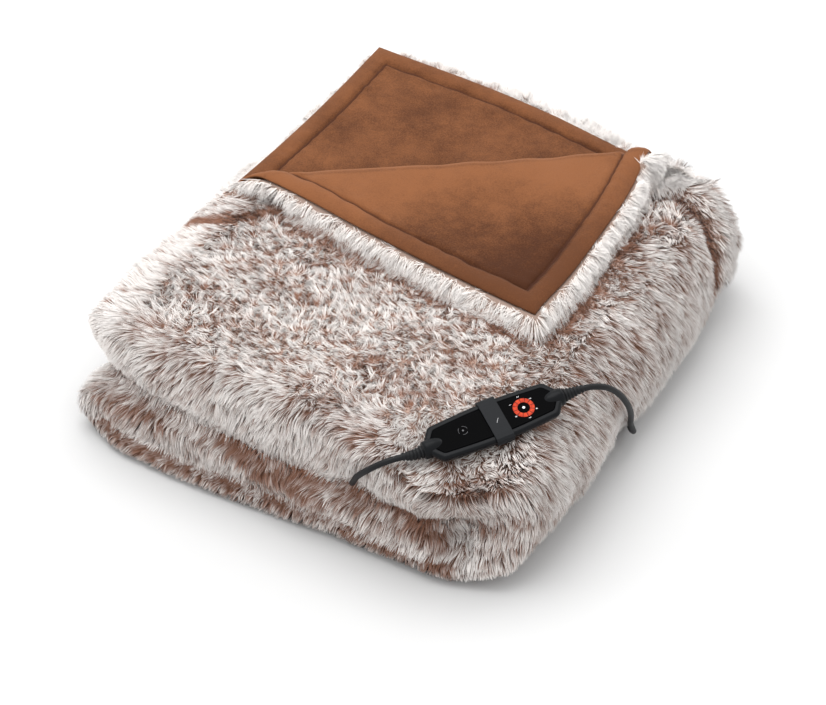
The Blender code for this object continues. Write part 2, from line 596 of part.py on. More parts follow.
def housing_object(finish):
    rim = FACE_INSET - 0.0003
    levels = ((0.0, 0.0075), (0.0020, 0.0042), (0.0060, 0.0018), (0.0105, 0.0002), (0.0125, 0.0),
              (0.0140, 0.0008), (HANDSET_HEIGHT, 0.0024), (HANDSET_HEIGHT, rim),
              (HANDSET_HEIGHT - FACE_DEPTH, rim))
    made = stack("control_housing", [control_outline(w) for _, w in levels], [z for z, _ in levels], finish)
    length, width = slot_size(0.0008)
    pocket = box_cutter("stem_pocket", (length, width, 0.0050),
                        (SWITCH_PLACE, 0, HANDSET_HEIGHT - 0.0030), finish)
    domes = [gland_dome("gland", side, 0.0, finish) for side in (-1, 1)]
    boolean(made, pocket, "DIFFERENCE")
    for dome in domes:
        boolean(made, dome, "UNION")
    apply_modifiers(made)
    for extra in (pocket, *domes):
        remove(extra)
    return place_control_piece(made)


def face_object(finish):
    bottom = HANDSET_HEIGHT - FACE_DEPTH + GAP
    top = HANDSET_HEIGHT + 0.0002
    levels = ((bottom, FACE_INSET + 0.0002), (top - 0.0003, FACE_INSET), (top, FACE_INSET + 0.0005))
    made = stack("control_face", [control_outline(w) for _, w in levels], [z for z, _ in levels], finish)
    length, width = slot_size(0.0003)
    slot = box_cutter("stem_slot", (length, width, 0.01), (SWITCH_PLACE, 0, HANDSET_HEIGHT), finish)
    cutters = [slot] + [gland_dome("gland_room", side, 2 * GAP, finish) for side in (-1, 1)]
    for cutter in cutters:
        boolean(made, cutter, "DIFFERENCE")
    apply_modifiers(made)
    for cutter in cutters:
        remove(cutter)
    return place_control_piece(made)


def switch_object(finish):
    """The saddle of the sliding switch, over the face and both rims, with its stem in the slot."""
    half = HANDSET_WIDTH / 2
    inner = [(half + GAP, 0.0098), (half + GAP, 0.0125), (half - 0.0005, 0.0142),
             (half - 0.0020, HANDSET_HEIGHT + 2 * GAP), (half - 0.0060, HANDSET_HEIGHT + 2 * GAP)]
    outer = [(half + GAP + SWITCH_WALL, 0.0098), (half + GAP + SWITCH_WALL, 0.0128),
             (half + 0.0004, 0.0152), (half - 0.0016, 0.0167), (half - 0.0060, 0.0171)]
    right = outer + [(0.008, 0.0172), (0.0, 0.0171)]
    profile = right + [(-y, z) for y, z in reversed(right[:-1])]
    profile += [(-y, z) for y, z in inner] + [(y, z) for y, z in reversed(inner)]
    x = SWITCH_LENGTH / 2
    count = len(profile)
    points = [(-x, y, z) for y, z in profile] + [(x, y, z) for y, z in profile]
    faces = [tuple(range(count)), tuple(range(count, 2 * count))[::-1]]
    faces += [(i, (i + 1) % count, count + (i + 1) % count, count + i) for i in range(count)]
    made = mesh_object("control_switch", points, faces, finish)
    outward(made)
    stem = box_cutter("switch_stem", STEM, (0, 0, HANDSET_HEIGHT + 0.0012 - STEM[2] / 2), finish)
    boolean(made, stem, "UNION")
    apply_modifiers(made)
    remove(stem)
    return place_control_piece(made, SWITCH_PLACE)


def turned(name, profile, steps, finish):
    """A closed body turned about its Z axis from (radius, height) points, bottom to top."""
    points = [(0, 0, profile[0][1])]
    for radius, height in profile:
        points += [(radius * math.cos(2 * math.pi * k / steps), radius * math.sin(2 * math.pi * k / steps),
                    height) for k in range(steps)]
    points.append((0, 0, profile[-1][1]))
    faces = [(0, 1 + (k + 1) % steps, 1 + k) for k in range(steps)]
    for row in range(len(profile) - 1):
        low, high = 1 + row * steps, 1 + (row + 1) * steps
        faces += [(low + k, low + (k + 1) % steps, high + (k + 1) % steps, high + k) for k in range(steps)]
    last = len(points) - 1
    faces += [(last, last - steps + k, last - steps + (k + 1) % steps) for k in range(steps)]
    return mesh_object(name, points, faces, finish)


def ring_body(name, profile, steps, finish):
    """A closed ring turned about its Z axis from a closed (radius, height) outline."""
    count = len(profile)
    points = [(r * math.cos(2 * math.pi * k / steps), r * math.sin(2 * math.pi * k / steps), z)
              for k in range(steps) for r, z in profile]
    faces = [(k * count + i, k * count + (i + 1) % count, (k + 1) % steps * count + (i + 1) % count,
              (k + 1) % steps * count + i) for k in range(steps) for i in range(count)]
    made = mesh_object(name, points, faces, finish)
    outward(made)
    return made


def heat_ring_objects(ring_finish, cap_finish):
    base = HANDSET_HEIGHT + 0.0002 + GAP
    top = base + RING_RISE
    ease = 0.0002
    ring = ring_body("heat_ring", [(RING_INNER, base), (RING_OUTER, base), (RING_OUTER, top - ease),
                                   (RING_OUTER - ease, top), (RING_INNER + ease, top),
                                   (RING_INNER, top - ease)], 32, ring_finish)
    radius = RING_INNER - GAP
    cap = turned("heat_cap", [(radius, base), (radius, top - ease), (radius * 0.93, top),
                              (radius * 0.5, top + 0.0001)], 28, cap_finish)
    for piece in (ring, cap):
        place_control_piece(piece, RING_PLACE)


def route(points, pitch):
    """A smooth curve through hand-placed points, read off at an even pitch."""
    fine = smooth_rows(points, [24] * len(points))
    way = np.concatenate([[0], np.cumsum(np.linalg.norm(np.diff(fine, axis=0), axis=1))])
    count = int(round(way[-1] / pitch)) + 1
    at = np.linspace(0, way[-1], count)
    return np.column_stack([np.interp(at, way, fine[:, i]) for i in range(3)])


def cut_route(points, start, end):
    """The stretch of a route between two lengths along it."""
    way = np.concatenate([[0], np.cumsum(np.linalg.norm(np.diff(points, axis=0), axis=1))])
    end = way[-1] if end is None else end
    inside = (way > start + 1e-4) & (way < end - 1e-4)
    at = np.concatenate([[start], way[inside], [end]])
    return np.column_stack([np.interp(at, way, points[:, i]) for i in range(3)])


def tube(name, points, radii, sides, finish):
    curve = bpy.data.curves.new(name, "CURVE")
    curve.dimensions = "3D"
    curve.bevel_depth = 1.0
    curve.bevel_resolution = sides
    curve.use_fill_caps = True
    spline = curve.splines.new("POLY")
    spline.points.add(len(points) - 1)
    for point, place, radius in zip(spline.points, points, np.broadcast_to(radii, len(points))):
        point.co = (*place, 1.0)
        point.radius = radius
    curve.materials.append(finish)
    made = bpy.data.objects.new(name, curve)
    bpy.context.collection.objects.link(made)
    return made


def relief_radii(count):
    """Radii of a ribbed strain relief, thick at the housing and as thin as the lead at its end."""
    t = np.linspace(0, 1, count)
    radii = RELIEF_RADIUS + (CORD / 2 + 0.0006 - RELIEF_RADIUS) * t ** 0.8
    radii[3:-1:2] *= 0.86
    return radii


def lead_points(points):
    """Points of a lead, close together where it hangs and further apart on the surface."""
    way = np.concatenate([[0], np.cumsum(np.linalg.norm(np.diff(points, axis=0), axis=1))])
    hanging = min(HANGING, way[-1])
    at = np.linspace(0, hanging, round(hanging / HANGING_PITCH) + 1)
    if way[-1] > hanging:
        lying = np.linspace(hanging, way[-1], round((way[-1] - hanging) / LYING_PITCH) + 1)
        at = np.concatenate([at, lying[1:]])
    return np.column_stack([np.interp(at, way, points[:, i]) for i in range(3)])


def lead_objects(finish, rubber):
    """Both leads of the control, each with its strain relief."""
    for name, points in (("blanket_lead", BLANKET_LEAD), ("mains_lead", MAINS_LEAD)):
        way = route(points, 0.0025)
        first = GAP
        count = 13
        relief = cut_route(way, first, first + RELIEF_LENGTH)
        relief = route(relief, RELIEF_LENGTH / (count - 1))
        tube(name.replace("lead", "relief"), relief, relief_radii(len(relief)), 3, rubber)
        rest = cut_route(way, first + RELIEF_LENGTH + 2 * GAP, None)
        tube(name, lead_points(rest), CORD / 2, 2, finish)


def coil_object(finish):
    """The stored turns of the mains lead as one ring of their outer shape."""
    width, height = COIL_SIZE
    r, low = COIL_RADIUS, 0.0002
    profile = [(r - width / 2, low + 0.003), (r - width / 2 + 0.003, low), (r + width / 2 - 0.003, low),
               (r + width / 2, low + 0.003), (r + width / 2, low + height - 0.003),
               (r + width / 2 - 0.003, low + height), (r - width / 2 + 0.003, low + height),
               (r - width / 2, low + height - 0.003)]
    made = ring_body("mains_coil", profile, 24, finish)
    made.location = (*COIL_MIDDLE, 0)
    return made


def plug_objects(finish, steel):
    """A flat two-pin plug that lies beside the coil, its lead end against the turns."""
    sections = ((0.000, 0.0036, 0.0036), (0.012, 0.0046, 0.0042), (0.016, 0.0080, 0.0058),
                (0.024, 0.0130, 0.0066), (0.036, 0.0170, 0.0068), (0.046, 0.0176, 0.0068),
                (0.048, 0.0168, 0.0060))
    steps = 16
    height = 0.0071
    points, faces = [], []
    for x, half, tall in sections:
        for k in range(steps):
            c, s = math.cos(2 * math.pi * k / steps), math.sin(2 * math.pi * k / steps)
            points.append((x, half * math.copysign(abs(c) ** 0.6, c), height + tall * math.copysign(
                abs(s) ** 0.6, s)))
    faces.append(tuple(range(steps)))
    for row in range(len(sections) - 1):
        low, high = row * steps, (row + 1) * steps
        faces += [(low + k, low + (k + 1) % steps, high + (k + 1) % steps, high + k) for k in range(steps)]
    faces.append(tuple(range((len(sections) - 1) * steps, len(sections) * steps)))
    body = mesh_object("plug_body", points, faces, finish)
    outward(body)
    pieces = [body]
    for name, side in (("plug_pin_left", 0.0093), ("plug_pin_right", -0.0093)):
        pin = turned(name, [(0.0020, 0.0), (0.0020, 0.0182), (0.0012, 0.0190)], 10, steel)
        pin.data.transform(Matrix.Translation((0.048 + GAP, side, height))
                           @ Matrix.Rotation(math.pi / 2, 4, "Y"))
        pieces.append(pin)
    for piece in pieces:
        piece.location = (*PLUG_START, 0)
        piece.rotation_euler = (0, 0, PLUG_TURN)


def build():
    clear_scene()
    fur = material("pale_fur", (0.60, 0.50, 0.44), 0.9)
    plush = material("brown_plush", (0.26, 0.115, 0.055), 0.8)
    shell = material("dark_shell", (0.030, 0.032, 0.036), 0.5)
    gloss = material("gloss_black", (0.006, 0.006, 0.007), 0.08)
    grey = material("grey_switch", (0.075, 0.078, 0.083), 0.45)
    glow = material("orange_ring", (0.75, 0.09, 0.02), 0.4)
    rubber = material("black_rubber", (0.016, 0.016, 0.018), 0.6)
    steel = material("plated_pin", (0.60, 0.60, 0.62), 0.3, 1.0)
    press_pile(fur_object(fur))
    lining_object(plush)
    housing_object(shell)
    face_object(gloss)
    switch_object(grey)
    heat_ring_objects(glow, gloss)
    lead_objects(rubber, rubber)
    coil_object(rubber)
    plug_objects(rubber, steel)


build()
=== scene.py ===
"""Looks of an electric heated throw, folded into a bundle, with its hand control and mains lead.

Metres, in the frame of the CAD model: +Z up, the front folds face -Y.
"""
import math
import bmesh
import bpy
import numpy as np
from mathutils import Matrix, Vector
from mathutils.geometry import delaunay_2d_cdt


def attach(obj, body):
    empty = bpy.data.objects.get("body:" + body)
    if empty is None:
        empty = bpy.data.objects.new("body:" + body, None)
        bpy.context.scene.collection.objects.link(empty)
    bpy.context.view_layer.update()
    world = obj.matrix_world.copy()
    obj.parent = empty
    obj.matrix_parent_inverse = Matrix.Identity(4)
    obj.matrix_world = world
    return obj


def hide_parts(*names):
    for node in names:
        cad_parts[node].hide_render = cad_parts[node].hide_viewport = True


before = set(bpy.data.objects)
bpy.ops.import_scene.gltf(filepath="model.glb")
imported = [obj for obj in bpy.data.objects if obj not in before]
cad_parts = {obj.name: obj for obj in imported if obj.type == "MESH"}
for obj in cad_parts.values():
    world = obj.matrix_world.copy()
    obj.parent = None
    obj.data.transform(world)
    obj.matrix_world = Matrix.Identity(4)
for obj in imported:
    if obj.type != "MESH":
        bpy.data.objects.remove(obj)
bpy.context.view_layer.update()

# Camera. It stands in front of the bundle, to its right and well above it, with a long lens, as for
# a picture in a shop.
AIM = Vector((0.019, -0.0855, 0.06))
AZIMUTH, ELEVATION = math.radians(29.5), math.radians(39.3)
CAMERA_DISTANCE = 2.2
LENS, SENSOR = 96.7, 36.0    # millimetres


def placed(name, data):
    """A new object of the scene."""
    made = bpy.data.objects.new(name, data)
    bpy.context.collection.objects.link(made)
    return made


camera = placed("camera", bpy.data.cameras.new("camera"))
camera.data.lens, camera.data.sensor_width = LENS, SENSOR
towards = Vector((math.sin(AZIMUTH) * math.cos(ELEVATION), -math.cos(AZIMUTH) * math.cos(ELEVATION),
                  math.sin(ELEVATION)))
camera.location = AIM + CAMERA_DISTANCE * towards
camera.rotation_euler = towards.to_track_quat("Z", "Y").to_euler()
bpy.context.scene.camera = camera


# Leads. Round black rubber sheath, 6 mm thick. One goes from the hand control back into the folds,
# the other is the mains lead, which runs round the bundle and is stored in a coil behind it.
CORD = 0.006
FLOOR_CORD = CORD / 2 + 0.0003    # height of a lead's middle where it lies on the floor
BLANKET_LEAD = ((0.1384, -0.2752, 0.1300), (0.1318, -0.2839, 0.1286), (0.1251, -0.2920, 0.1295),
                (0.1172, -0.3007, 0.1287), (0.1085, -0.3070, 0.1243), (0.0995, -0.3090, 0.1162),
                (0.0862, -0.3062, 0.1002), (0.0781, -0.2998, 0.0851), (0.0734, -0.2944, 0.0769))
MAINS_LEAD = ((0.2197, -0.1673, 0.1473), (0.2263, -0.1586, 0.1487), (0.2336, -0.1508, 0.1507),
              (0.2393, -0.1439, 0.1500), (0.2462, -0.1347, 0.1461), (0.2511, -0.1248, 0.1376),
              (0.2553, -0.1149, 0.1255), (0.2575, -0.1044, 0.1100), (0.2566, -0.0921, 0.0919),
              (0.2530, -0.0783, 0.0712), (0.2475, -0.0643, 0.0485), (0.2446, -0.0482, 0.0255),
              (0.2328, -0.0284, 0.0109), (0.2214, -0.0035, 0.0040), (0.2164, 0.0255, FLOOR_CORD),
              (0.2165, 0.0750, FLOOR_CORD), (0.2150, 0.1300, FLOOR_CORD), (0.2070, 0.1950, FLOOR_CORD),
              (0.1990, 0.2450, FLOOR_CORD), (0.1860, 0.2880, FLOOR_CORD), (0.1590, 0.3150, FLOOR_CORD),
              (0.1250, 0.3252, FLOOR_CORD), (0.0850, 0.3262, FLOOR_CORD), (0.0450, 0.3262, FLOOR_CORD),
              (0.0025, 0.3262, FLOOR_CORD))
COIL_MIDDLE, COIL_RADIUS = np.array((0.0, 0.3720)), 0.0330
COIL_TURNS = 7.5694               # the whole turns, and the way round to where the plug's end leaves
COIL_LANES = 3                    # turns side by side in a layer
LANE_PITCH, LAYER_PITCH = CORD * 1.04, CORD * 1.02
LANE_CHANGE, COIL_ENTRY, COIL_EXIT = 0.14, 0.12, 0.35    # each as a part of a turn
PLUG_START, PLUG_TURN, PLUG_HEIGHT = (0.0384, 0.3977), math.radians(-25.0), 0.0071
PLUG_SECTIONS = ((0.000, 0.0036, 0.0036), (0.012, 0.0046, 0.0042), (0.016, 0.0080, 0.0058),
                 (0.024, 0.0130, 0.0066), (0.036, 0.0170, 0.0068), (0.046, 0.0176, 0.0068),
                 (0.0478, 0.0170, 0.0062))    # way from the lead's end, half width, half height
RELIEF_LENGTH, RELIEF_RADIUS, RELIEF_RINGS = 0.023, 0.0068, 6.5
RELIEF_GROOVE = 0.20              # depth of a groove, as a part of the radius


class Value:
    """A socket whose arithmetic adds the Math nodes for it."""

    def __init__(self, tree, socket):
        self.tree, self.socket = tree, socket

    def math(self, operation, *others):
        node = add_node(self.tree, "ShaderNodeMath", {"operation": operation}, (self, *others))
        return Value(self.tree, node.outputs[0])

    def __add__(self, other):
        return self.math("ADD", other)

    def __sub__(self, other):
        return self.math("SUBTRACT", other)

    def __mul__(self, other):
        return self.math("MULTIPLY", other)

    def __truediv__(self, other):
        return self.math("DIVIDE", other)

    def __rsub__(self, other):
        return (self * -1.0) + other

    __radd__, __rmul__ = __add__, __mul__

    def step(self, low, high):
        """Smoothly from 0 at low to 1 at high."""
        t = ((self - low) / (high - low)).math("MAXIMUM", 0.0).math("MINIMUM", 1.0)
        return t * t * (3.0 - 2.0 * t)


def plug_in(tree, socket, value):
    """Links another socket into this one, or sets a plain value there."""
    value = getattr(value, "socket", value)
    if isinstance(value, bpy.types.NodeSocket):
        tree.links.new(value, socket)
    else:
        socket.default_value = value


def add_node(tree, kind, settings=(), inputs=(), **values):
    """A node of any type: its settings first, then its sockets, in their order or by their names."""
    node = tree.nodes.new(kind)
    for key, value in dict(settings).items():
        setattr(node, key, value)
    for socket, value in zip(node.inputs, inputs):
        plug_in(tree, socket, value)
    for name, value in values.items():
        plug_in(tree, node.inputs[name.replace("_", " ")], value)
    return node


class Finish:
    """A material: its shader, and the nodes that feed it."""

    def __init__(self, name, **plain):
        self.made = bpy.data.materials.new(name)
        self.made.use_nodes = True
        self.tree = self.made.node_tree
        self.shader = self.tree.nodes["Principled BSDF"]
        for socket, value in plain.items():
            self.shader.inputs[socket.replace("_", " ")].default_value = value

    def node(self, kind, settings=(), output=0, inputs=(), **values):
        node = add_node(self.tree, "ShaderNode" + kind, settings, inputs, **values)
        return Value(self.tree, node.outputs[output])

    def place(self):
        return self.node("TexCoord", output=3)

    def noise(self, scale, detail=2.0, roughness=0.5):
        return self.node("TexNoise", Scale=scale, Detail=detail, Roughness=roughness, Vector=self.place())

    def mix(self, factor, low, high):
        node = add_node(self.tree, "ShaderNodeMix", {"data_type": "RGBA"})
        for socket, value in ((node.inputs[0], factor), (node.inputs[6], low), (node.inputs[7], high)):
            plug_in(self.tree, socket, value if isinstance(value, (Value, float)) else (*value, 1.0))
        return Value(self.tree, node.outputs[2])

    def feed(self, socket, value):
        plug_in(self.tree, self.shader.inputs[socket], value)

    def bump(self, height, depth, strength=1.0):
        self.feed("Normal", self.node("Bump", Height=height, Distance=depth, Strength=strength))


def ramp(values, none, full):
    """In a straight line from 0 where a value is at none to 1 where it is at full."""
    return np.clip((values - none) / (full - none), 0, 1)


def eased(t):
    """0 to 1 with a soft start and end, by a cubic."""
    return t * t * (3 - 2 * t)


def unit(v):
    """Directions, each of length 1."""
    return v / np.maximum(np.linalg.norm(v, axis=-1, keepdims=True), 1e-9)


def smooth_route(points, pitch):
    """A Catmull-Rom curve through the points, read off at an even pitch: between two points, each
    place is the cubic that leaves them in the directions of their neighbours."""
    points = np.asarray(points, float)
    ends = np.vstack([2 * points[0] - points[1], points, 2 * points[-1] - points[-2]])
    a, b, c, d = (ends[i:len(ends) - 3 + i, None] for i in range(4))
    t = (np.arange(24) / 24)[None, :, None]
    bend = (2 * a - 5 * b + 4 * c - d) * t ** 2 + (3 * b - a - 3 * c + d) * t ** 3
    fine = 0.5 * (2 * b + (c - a) * t + bend)
    fine = np.vstack([fine.reshape(-1, 3), points[-1]])
    way = np.concatenate([[0], np.cumsum(np.linalg.norm(np.diff(fine, axis=0), axis=1))])
    at = np.linspace(0, way[-1], int(round(way[-1] / pitch)) + 1)
    return np.column_stack([np.interp(at, way, fine[:, i]) for i in range(3)])


def lead_curve(name, points, finish):
    """A round cord along the points, with flat ends."""
    curve = bpy.data.curves.new(name, "CURVE")
    curve.dimensions = "3D"
    curve.bevel_depth = CORD / 2
    curve.bevel_resolution = 4
    curve.use_fill_caps = True
    spline = curve.splines.new("POLY")
    spline.points.add(len(points) - 1)
    spline.points.foreach_set("co", np.column_stack([points, np.ones(len(points))]).ravel())
    curve.materials.append(finish)
    return placed(name, curve)


def mesh_from(name, points, faces, finish, smooth=True):
    mesh = bpy.data.meshes.new(name)
    mesh.from_pydata(np.asarray(points).tolist(), [], faces)
    mesh.materials.append(finish)
    mesh.polygons.foreach_set("use_smooth", [smooth] * len(mesh.polygons))
    return placed(name, mesh)


def round_angles(count):
    """Angles of count even steps once round."""
    return np.arange(count) * 2 * math.pi / count


def skin_faces(rows, columns):
    """Faces of a closed skin over rows of points, each row a loop, with a cap on both ends."""
    low = np.arange(rows - 1)[:, None] * columns + np.arange(columns)
    side = np.arange(rows - 1)[:, None] * columns + (np.arange(columns) + 1) % columns
    quads = np.stack([low, side, side + columns, low + columns], axis=2).reshape(-1, 4).tolist()
    last = (rows - 1) * columns
    return quads + [list(range(columns))[::-1], list(range(last, last + columns))]


def ribbed_relief(name, route, finish):
    """A rubber sleeve along the first stretch of a lead. Its radius falls from the control to its end,
    and a cosine squared off by a tanh makes its rings, with narrow grooves between them."""
    pitch, sides = 0.0004, 28
    points = smooth_route(route, pitch)[1:int(RELIEF_LENGTH / pitch)]
    t = np.linspace(0, 1, len(points))[:, None]
    ring = 0.5 + 0.5 * np.tanh(5 * (np.cos(2 * math.pi * RELIEF_RINGS * t) + 0.35))
    end_radius = CORD / 2 + 0.0006
    radius = (RELIEF_RADIUS + (end_radius - RELIEF_RADIUS) * t ** 0.9) * (1 - RELIEF_GROOVE * (1 - ring))
    radius[0], radius[-1] = RELIEF_RADIUS, CORD / 2
    ahead = unit(np.gradient(points, axis=0))
    side = unit(np.cross(ahead, (0, 0, 1)))
    up = np.cross(side, ahead)
    turn = round_angles(sides)[None, :, None]
    rings = points[:, None] + radius[:, :, None] * (np.cos(turn) * up[:, None] + np.sin(turn) * side[:, None])
    return mesh_from(name, rings.reshape(-1, 3), skin_faces(len(points), sides), finish)


def rubber_finish():
    finish = Finish("lead_rubber", Base_Color=(0.0034, 0.0037, 0.0046, 1), Specular_IOR_Level=0.22)
    finish.feed("Roughness", 0.42 + 0.16 * finish.noise(60.0))
    finish.bump(finish.noise(900.0, 3.0), 0.00006)
    return finish.made


def coil_points():
    """Turns of the stored lead. The angle falls evenly; radius and height step over from one turn to
    the next in a short stretch, so that the turns lie beside and on each other. The first turn comes
    in from the lead's route and the last goes out to the plug."""
    turn = np.arange(0, COIL_TURNS, 1 / 28)
    whole = np.floor(turn)
    change = eased(ramp(turn - whole, 1 - LANE_CHANGE, 1))

    def column(k):
        layer, lane = k // COIL_LANES, k % COIL_LANES
        lane = np.where(layer % 2 == 0, lane, COIL_LANES - 1 - lane)
        return COIL_RADIUS + LANE_PITCH * (1 - lane), FLOOR_CORD + LAYER_PITCH * layer

    (r0, z0), (r1, z1) = column(whole), column(whole + 1)
    radius, height = r0 + (r1 - r0) * change, z0 + (z1 - z0) * change
    outermost = COIL_RADIUS + LANE_PITCH
    route_radius = COIL_MIDDLE[1] - MAINS_LEAD[-1][1]
    radius = radius + (route_radius - outermost) * ramp(turn, COIL_ENTRY, 0) ** 2
    radius = radius + (outermost - radius) * eased(ramp(turn, COIL_TURNS - COIL_EXIT, COIL_TURNS))
    angle = -math.pi / 2 - 2 * math.pi * turn
    round_middle = COIL_MIDDLE + radius[:, None] * np.column_stack([np.cos(angle), np.sin(angle)])
    return np.column_stack([round_middle, height])


def plug_shell(finish):
    """A flat two-pin plug. Its sections are rounded rectangles, with the sine and the cosine raised to
    a power under 1, that widen from the lead to the pins."""
    squareness = 0.6
    sections = smooth_route(PLUG_SECTIONS, 0.0012)
    angle = round_angles(40)[None, :]
    x, half, tall = (sections[:, i, None] for i in range(3))
    c, s = np.cos(angle), np.sin(angle)
    grid = np.stack([x + 0 * angle, half * np.sign(c) * np.abs(c) ** squareness,
                     PLUG_HEIGHT + tall * np.sign(s) * np.abs(s) ** squareness], axis=2)
    turned = np.array(Matrix.Rotation(PLUG_TURN, 3, "Z"))
    points = grid.reshape(-1, 3) @ turned.T + (*PLUG_START, 0)
    return mesh_from("plug_shell", points, skin_faces(*grid.shape[:2]), finish)


def pin_finish():
    finish = Finish("plated_pins", Base_Color=(0.62, 0.61, 0.60, 1), Metallic=1.0)
    finish.feed("Roughness", 0.22 + 0.2 * finish.noise(300.0, 3.0))
    return finish.made


rubber = rubber_finish()
plug = plug_shell(rubber)
pins = pin_finish()
for node in ("plug_pin_left", "plug_pin_right"):
    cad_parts[node].material_slots[0].material = pins
reliefs = [ribbed_relief("relief_of_blanket_lead", BLANKET_LEAD, rubber),
           ribbed_relief("relief_of_mains_lead", MAINS_LEAD, rubber)]
for piece, node in ((plug, "plug_body"), (reliefs[0], "blanket_relief"), (reliefs[1], "mains_relief")):
    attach(piece, "throw")
    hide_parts(node)
mains_points = np.vstack([smooth_route(MAINS_LEAD, 0.004)[:-1], coil_points(), (*PLUG_START, PLUG_HEIGHT)])
for name, points, nodes, exits, extra, far, lay in (
        ("lead_of_blanket", smooth_route(BLANKET_LEAD, 0.003), ("blanket_lead",), BLANKET_LEAD[0],
         [reliefs[0]], "object", "loose"),
        ("lead_of_mains", mains_points, ("mains_lead", "mains_coil"), MAINS_LEAD[0],
         [reliefs[1], plug, "plug_pin_left", "plug_pin_right"], "plug", "coiled")):
    lead = lead_curve(name, points, rubber)
    length = float(np.linalg.norm(np.diff(points, axis=0), axis=1).sum())
    print(name, "is", round(length, 4), "m long")
    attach(lead, "throw")
    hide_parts(*nodes)


# Hand control. A dark satin plastic shell with a long eight-sided outline and a dome over each lead's
# end. A glossy plate is let into its top; a grey switch slides over it from rim to rim, and the heat
# ring with its cap sits on it beside printed numbers.
HANDSET_LENGTH, HANDSET_WIDTH, HANDSET_HEIGHT = 0.1325, 0.0455, 0.0150
HANDSET_MIDDLE = (0.1779, -0.2190, 0.1300)               # of its underside
HANDSET_TURN, HANDSET_PITCH, HANDSET_ROLL = math.radians(53.0), math.radians(7.3), math.radians(14.7)
END_WIDTH, END_TAPER, WAIST = 0.013, 0.0090, 0.0040
END_EASE, SIDE_EASE = 0.0028, 0.030                      # where the rounding of a corner starts
HOUSING_FLANK = ((0.0075, 0.0), (0.0042, 0.0020), (0.0018, 0.0060), (0.0002, 0.0105), (0.0, 0.0125),
                 (0.0008, 0.0140), (0.0020, 0.0149), (0.0026, HANDSET_HEIGHT))    # way in, height
GLAND, GLAND_PLACE = (0.0165, 0.0084, 0.0092), (0.0635, 0.0090)    # half sizes; place along and up
RIM_WIDTH, RECESS_FLOOR, PLATE_TOP = 0.0054, 0.0138, 0.0152
SWITCH_PLACE, SWITCH_TOP = 0.0016, 0.0172
RING_PLACE, RING_INNER, RING_OUTER, RING_TOP = 0.0301, 0.0057, 0.0101, 0.0159
RING_FIELDS, RING_LINE = 12, 0.0003                      # and how wide the dark line at a rim is
CAP_TOP = RING_TOP + 0.0001
PRINT = 0.00004                                          # how far a printed mark stands up
NUMERAL_SIZE = 0.0030
NUMERALS = ((0.0201, 0.0080), (0.0302, 0.0130), (0.0397, 0.0068), (0.0404, -0.0054), (0.0307, -0.0117),
            (0.0200, -0.0055))
MARK_PLACE, MARK_ARC, MARK_DOT = (-0.0298, 0.0013), (0.0042, 0.0045), 0.0009
on_control = np.array(Matrix.Translation(HANDSET_MIDDLE) @ Matrix.Rotation(HANDSET_TURN, 4, "Z")
                      @ Matrix.Rotation(-HANDSET_PITCH, 4, "Y") @ Matrix.Rotation(HANDSET_ROLL, 4, "X"))


def from_control(points):
    """Places in the frame of points measured on the hand control, from the middle of its underside."""
    return np.asarray(points, float) @ on_control[:3, :3].T + on_control[:3, 3]


def to_control(points):
    """The way back: places on the hand control of points in the frame."""
    return (points - on_control[:3, 3]) @ on_control[:3, :3]


def inset(outline, width):
    """The outline with each side moved in by width, to where the moved sides cross."""
    points = np.array(outline, float)
    step = np.roll(points, -1, axis=0) - points
    step /= np.linalg.norm(step, axis=1)[:, None]
    points = points + width * np.stack([-step[:, 1], step[:, 0]], axis=1)
    before, way = np.roll(points, 1, axis=0), np.roll(step, 1, axis=0)
    gap = points - before
    cross = way[:, 0] * step[:, 1] - way[:, 1] * step[:, 0]
    return before + way * ((gap[:, 0] * step[:, 1] - gap[:, 1] * step[:, 0]) / cross)[:, None]


def control_outline(width_in):
    """The eight sides of the control moved in by a width, with each corner eased by a parabola."""
    x, y = HANDSET_LENGTH / 2, HANDSET_WIDTH / 2
    quarter = [(x, END_WIDTH / 2), (x - END_TAPER, y - WAIST), (0, y), (-x + END_TAPER, y - WAIST),
               (-x, END_WIDTH / 2)]
    corner = inset(quarter + [(-a, -b) for a, b in quarter], width_in)
    reach = np.where(np.abs(corner[:, :1]) > 0.001, END_EASE, SIDE_EASE)
    start, end = (corner + reach * unit(np.roll(corner, way, axis=0) - corner) for way in (1, -1))
    t = np.linspace(0, 1, 8)[None, :, None]
    eased_corner = (1 - t) ** 2 * start[:, None] + 2 * t * (1 - t) * corner[:, None] + t ** 2 * end[:, None]
    return eased_corner.reshape(-1, 2)


def gland_dome(side):
    """Half an ellipsoid and a little more, its round tip on the plate and its flat end at the relief."""
    angle = np.radians(np.linspace(-88, 20, 16))[:, None]
    turn = round_angles(36)[None, :]
    x = side * (GLAND_PLACE[0] + GLAND[0] * np.sin(angle)) + 0 * turn
    y, z = GLAND[1] * np.cos(angle) * np.cos(turn), GLAND_PLACE[1] + GLAND[2] * np.cos(angle) * np.sin(turn)
    grid = np.stack([x, y, z], axis=2)
    return (grid if side > 0 else grid[:, ::-1]).reshape(-1, 3), skin_faces(*grid.shape[:2])


